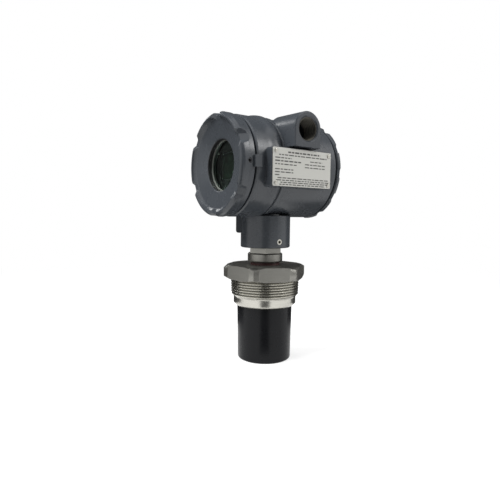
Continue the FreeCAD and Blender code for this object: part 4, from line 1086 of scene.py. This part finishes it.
@dataclass
class Studio:
    """Pale floor, white surroundings, soft lamps and the cards that shade reflections."""

    aim: Triple = (0.0, 0.0, 0.08)
    floor_half: float = 6.0
    ambient: float = 0.28
    floor_light: float = 0.18
    floor_tone: float = 0.45
    floor_glow: float = 0.62
    floor_near: float = 0.12
    floor_far: float = 0.75
    floor_roughness: float = 0.9
    lamps: Tuple[Softbox, ...] = (
        Softbox("right_box", (0.753, 0.489, 0.782), (0.42, 0.36), 3.2),
        Softbox("left_box", (-0.93, -0.25, 0.68), (0.5, 0.3), 3.4),
        Softbox("front_fill", (-0.2, -0.8, 1.1), (1.0, 0.8), 24.0, mirrored=False),
        Softbox("side_fill", (0.44, 0.83, 0.73), (1.0, 0.8), 7.0, mirrored=False),
    )
    cards: Tuple[DarkCard, ...] = (
        DarkCard("back_card", 72.0, 232.0, 1.5, 1.2, 0.06, floor_from=0.12),
        DarkCard("camera_card", -50.0, -18.0, 0.9, 0.7, 0.15),
        DarkCard("side_card", -18.0, 25.0, 0.9, 0.7, 0.1, roof_to=0.8, foot=0.03),
    )

    def build(self) -> None:
        """Set up the floor, the world, the lamps and the cards."""
        scene = bpy.context.scene
        scene.view_settings.view_transform = "Standard"
        self._world(scene)
        self._floor()
        for lamp in self.lamps:
            self._lamp(lamp)
        for card in self.cards:
            self._card(card)

    @staticmethod
    def _seen(tree: Tree) -> Socket:
        """Tell the rays that show the background from those that only light the object.

        Args:
            tree: Tree of the floor or the world.

        Returns:
            A socket that is 1 for camera, glossy and transmission rays.
        """
        path = tree.node("ShaderNodeLightPath").outputs
        shown = tree.math("MAXIMUM", path["Is Camera Ray"], path["Is Glossy Ray"])
        return tree.math("MAXIMUM", shown, path["Is Transmission Ray"])

    def _world(self, scene: bpy.types.Scene) -> None:
        """Make the surroundings white to the camera and in reflections, softer as light.

        Args:
            scene: The scene that they belong to.
        """
        world = bpy.data.worlds.new("studio_world")
        world.use_nodes = True
        scene.world = world
        tree = Tree(world.node_tree)
        back = world.node_tree.nodes["Background"]
        tree.feed(back.inputs["Strength"], tree.spread(self._seen(tree), self.ambient, 1.0))
        back.inputs["Color"].default_value = WHITE

    def _floor(self) -> None:
        """Pale floor under the sensor's face that keeps the shadow."""
        half, height = self.floor_half, cad_box[0].z - WELD
        mesh = bpy.data.meshes.new("floor")
        corners = [(x * half, y * half, height) for x, y in ((-1, -1), (1, -1), (1, 1), (-1, 1))]
        mesh.from_pydata(corners, [], [(0, 1, 2, 3)])
        floor = link(mesh)
        paper, tree, shader = new_material("floor_paper")
        away = tree.node("ShaderNodeVectorMath", operation="LENGTH")
        tree.feed(away.inputs[0], tree.node("ShaderNodeTexCoord").outputs["Object"])
        fade = tree.ramp(away.outputs["Value"], self.floor_near, self.floor_far)
        tone = (self.floor_tone, self.floor_tone, self.floor_tone, 1.0)
        tree.feed(shader.inputs["Base Color"], tree.mix(fade, tone, BLACK))
        shader.inputs["Roughness"].default_value = self.floor_roughness
        shader.inputs["Specular IOR Level"].default_value = 0.0
        shader.inputs["Emission Color"].default_value = WHITE
        glow = tree.spread(fade, self.floor_glow, 1.0)
        lit = tree.mix(self._seen(tree), self.floor_light, glow, "FLOAT")
        tree.feed(shader.inputs["Emission Strength"], lit)
        mesh.materials.append(paper)

    def _lamp(self, lamp: Softbox) -> None:
        """Hang one lamp and aim it.

        Args:
            lamp: The lamp.
        """
        light = bpy.data.lights.new(lamp.name, "AREA")
        light.shape = "RECTANGLE"
        light.size, light.size_y = lamp.size
        light.energy = lamp.power
        hung = bpy.data.objects.new(lamp.name, light)
        way = Vector(self.aim) - Vector(lamp.place)
        hung.location = lamp.place
        hung.visible_glossy = lamp.mirrored
        hung.rotation_euler = way.to_track_quat("-Z", "Y").to_euler()
        bpy.context.scene.collection.objects.link(hung)

    def _card(self, card: DarkCard) -> None:
        """Stand one card around the object, out of sight of all but reflections.

        Args:
            card: The card.
        """
        low = cad_box[0].z + WELD
        outline = [(card.floor_from, low), (card.radius, low)]
        if card.foot is not None:
            outline = [(card.radius, card.foot)]
        outline += [(card.radius, card.top), (card.roof_to, card.top)]
        corners = []
        for step in range(card.steps + 1):
            angle = math.radians(card.from_deg + (card.to_deg - card.from_deg) * step / card.steps)
            across, along = math.cos(angle), math.sin(angle)
            corners += [(reach * across, reach * along, height) for reach, height in outline]
        rows = len(outline)
        panels = [(n * rows + k, n * rows + k + 1, (n + 1) * rows + k + 1, (n + 1) * rows + k)
                  for n in range(card.steps) for k in range(rows - 1)]
        mesh = bpy.data.meshes.new(card.name)
        mesh.from_pydata(corners, [], panels)
        wall = link(mesh)
        cloth, _, shader = new_material(card.name)
        shader.inputs["Base Color"].default_value = BLACK
        shader.inputs["Specular IOR Level"].default_value = 0.0
        shader.inputs["Emission Color"].default_value = (card.tone, card.tone, card.tone, 1.0)
        shader.inputs["Emission Strength"].default_value = 1.0
        mesh.materials.append(cloth)
        wall.visible_camera = False
        wall.visible_diffuse = False
        wall.visible_shadow = False


def main() -> None:
    """Dress the nodes, add the pieces, and set the studio and the camera."""
    logging.basicConfig(level=logging.INFO)
    finishes = FinishLibrary()
    for group in (ProcessConnection(), Transducer(), Housing(), NamePlate(), FrontCover(), RearCover(),
                  Electronics(), Terminals()):
        group.dress(finishes)
        for piece in group.build(finishes):
            LOG.info("%s: %d faces", piece.name, len(piece.data.polygons))
    PhotoCamera().build()
    Studio().build()


if __name__ == "__main__":
    main()
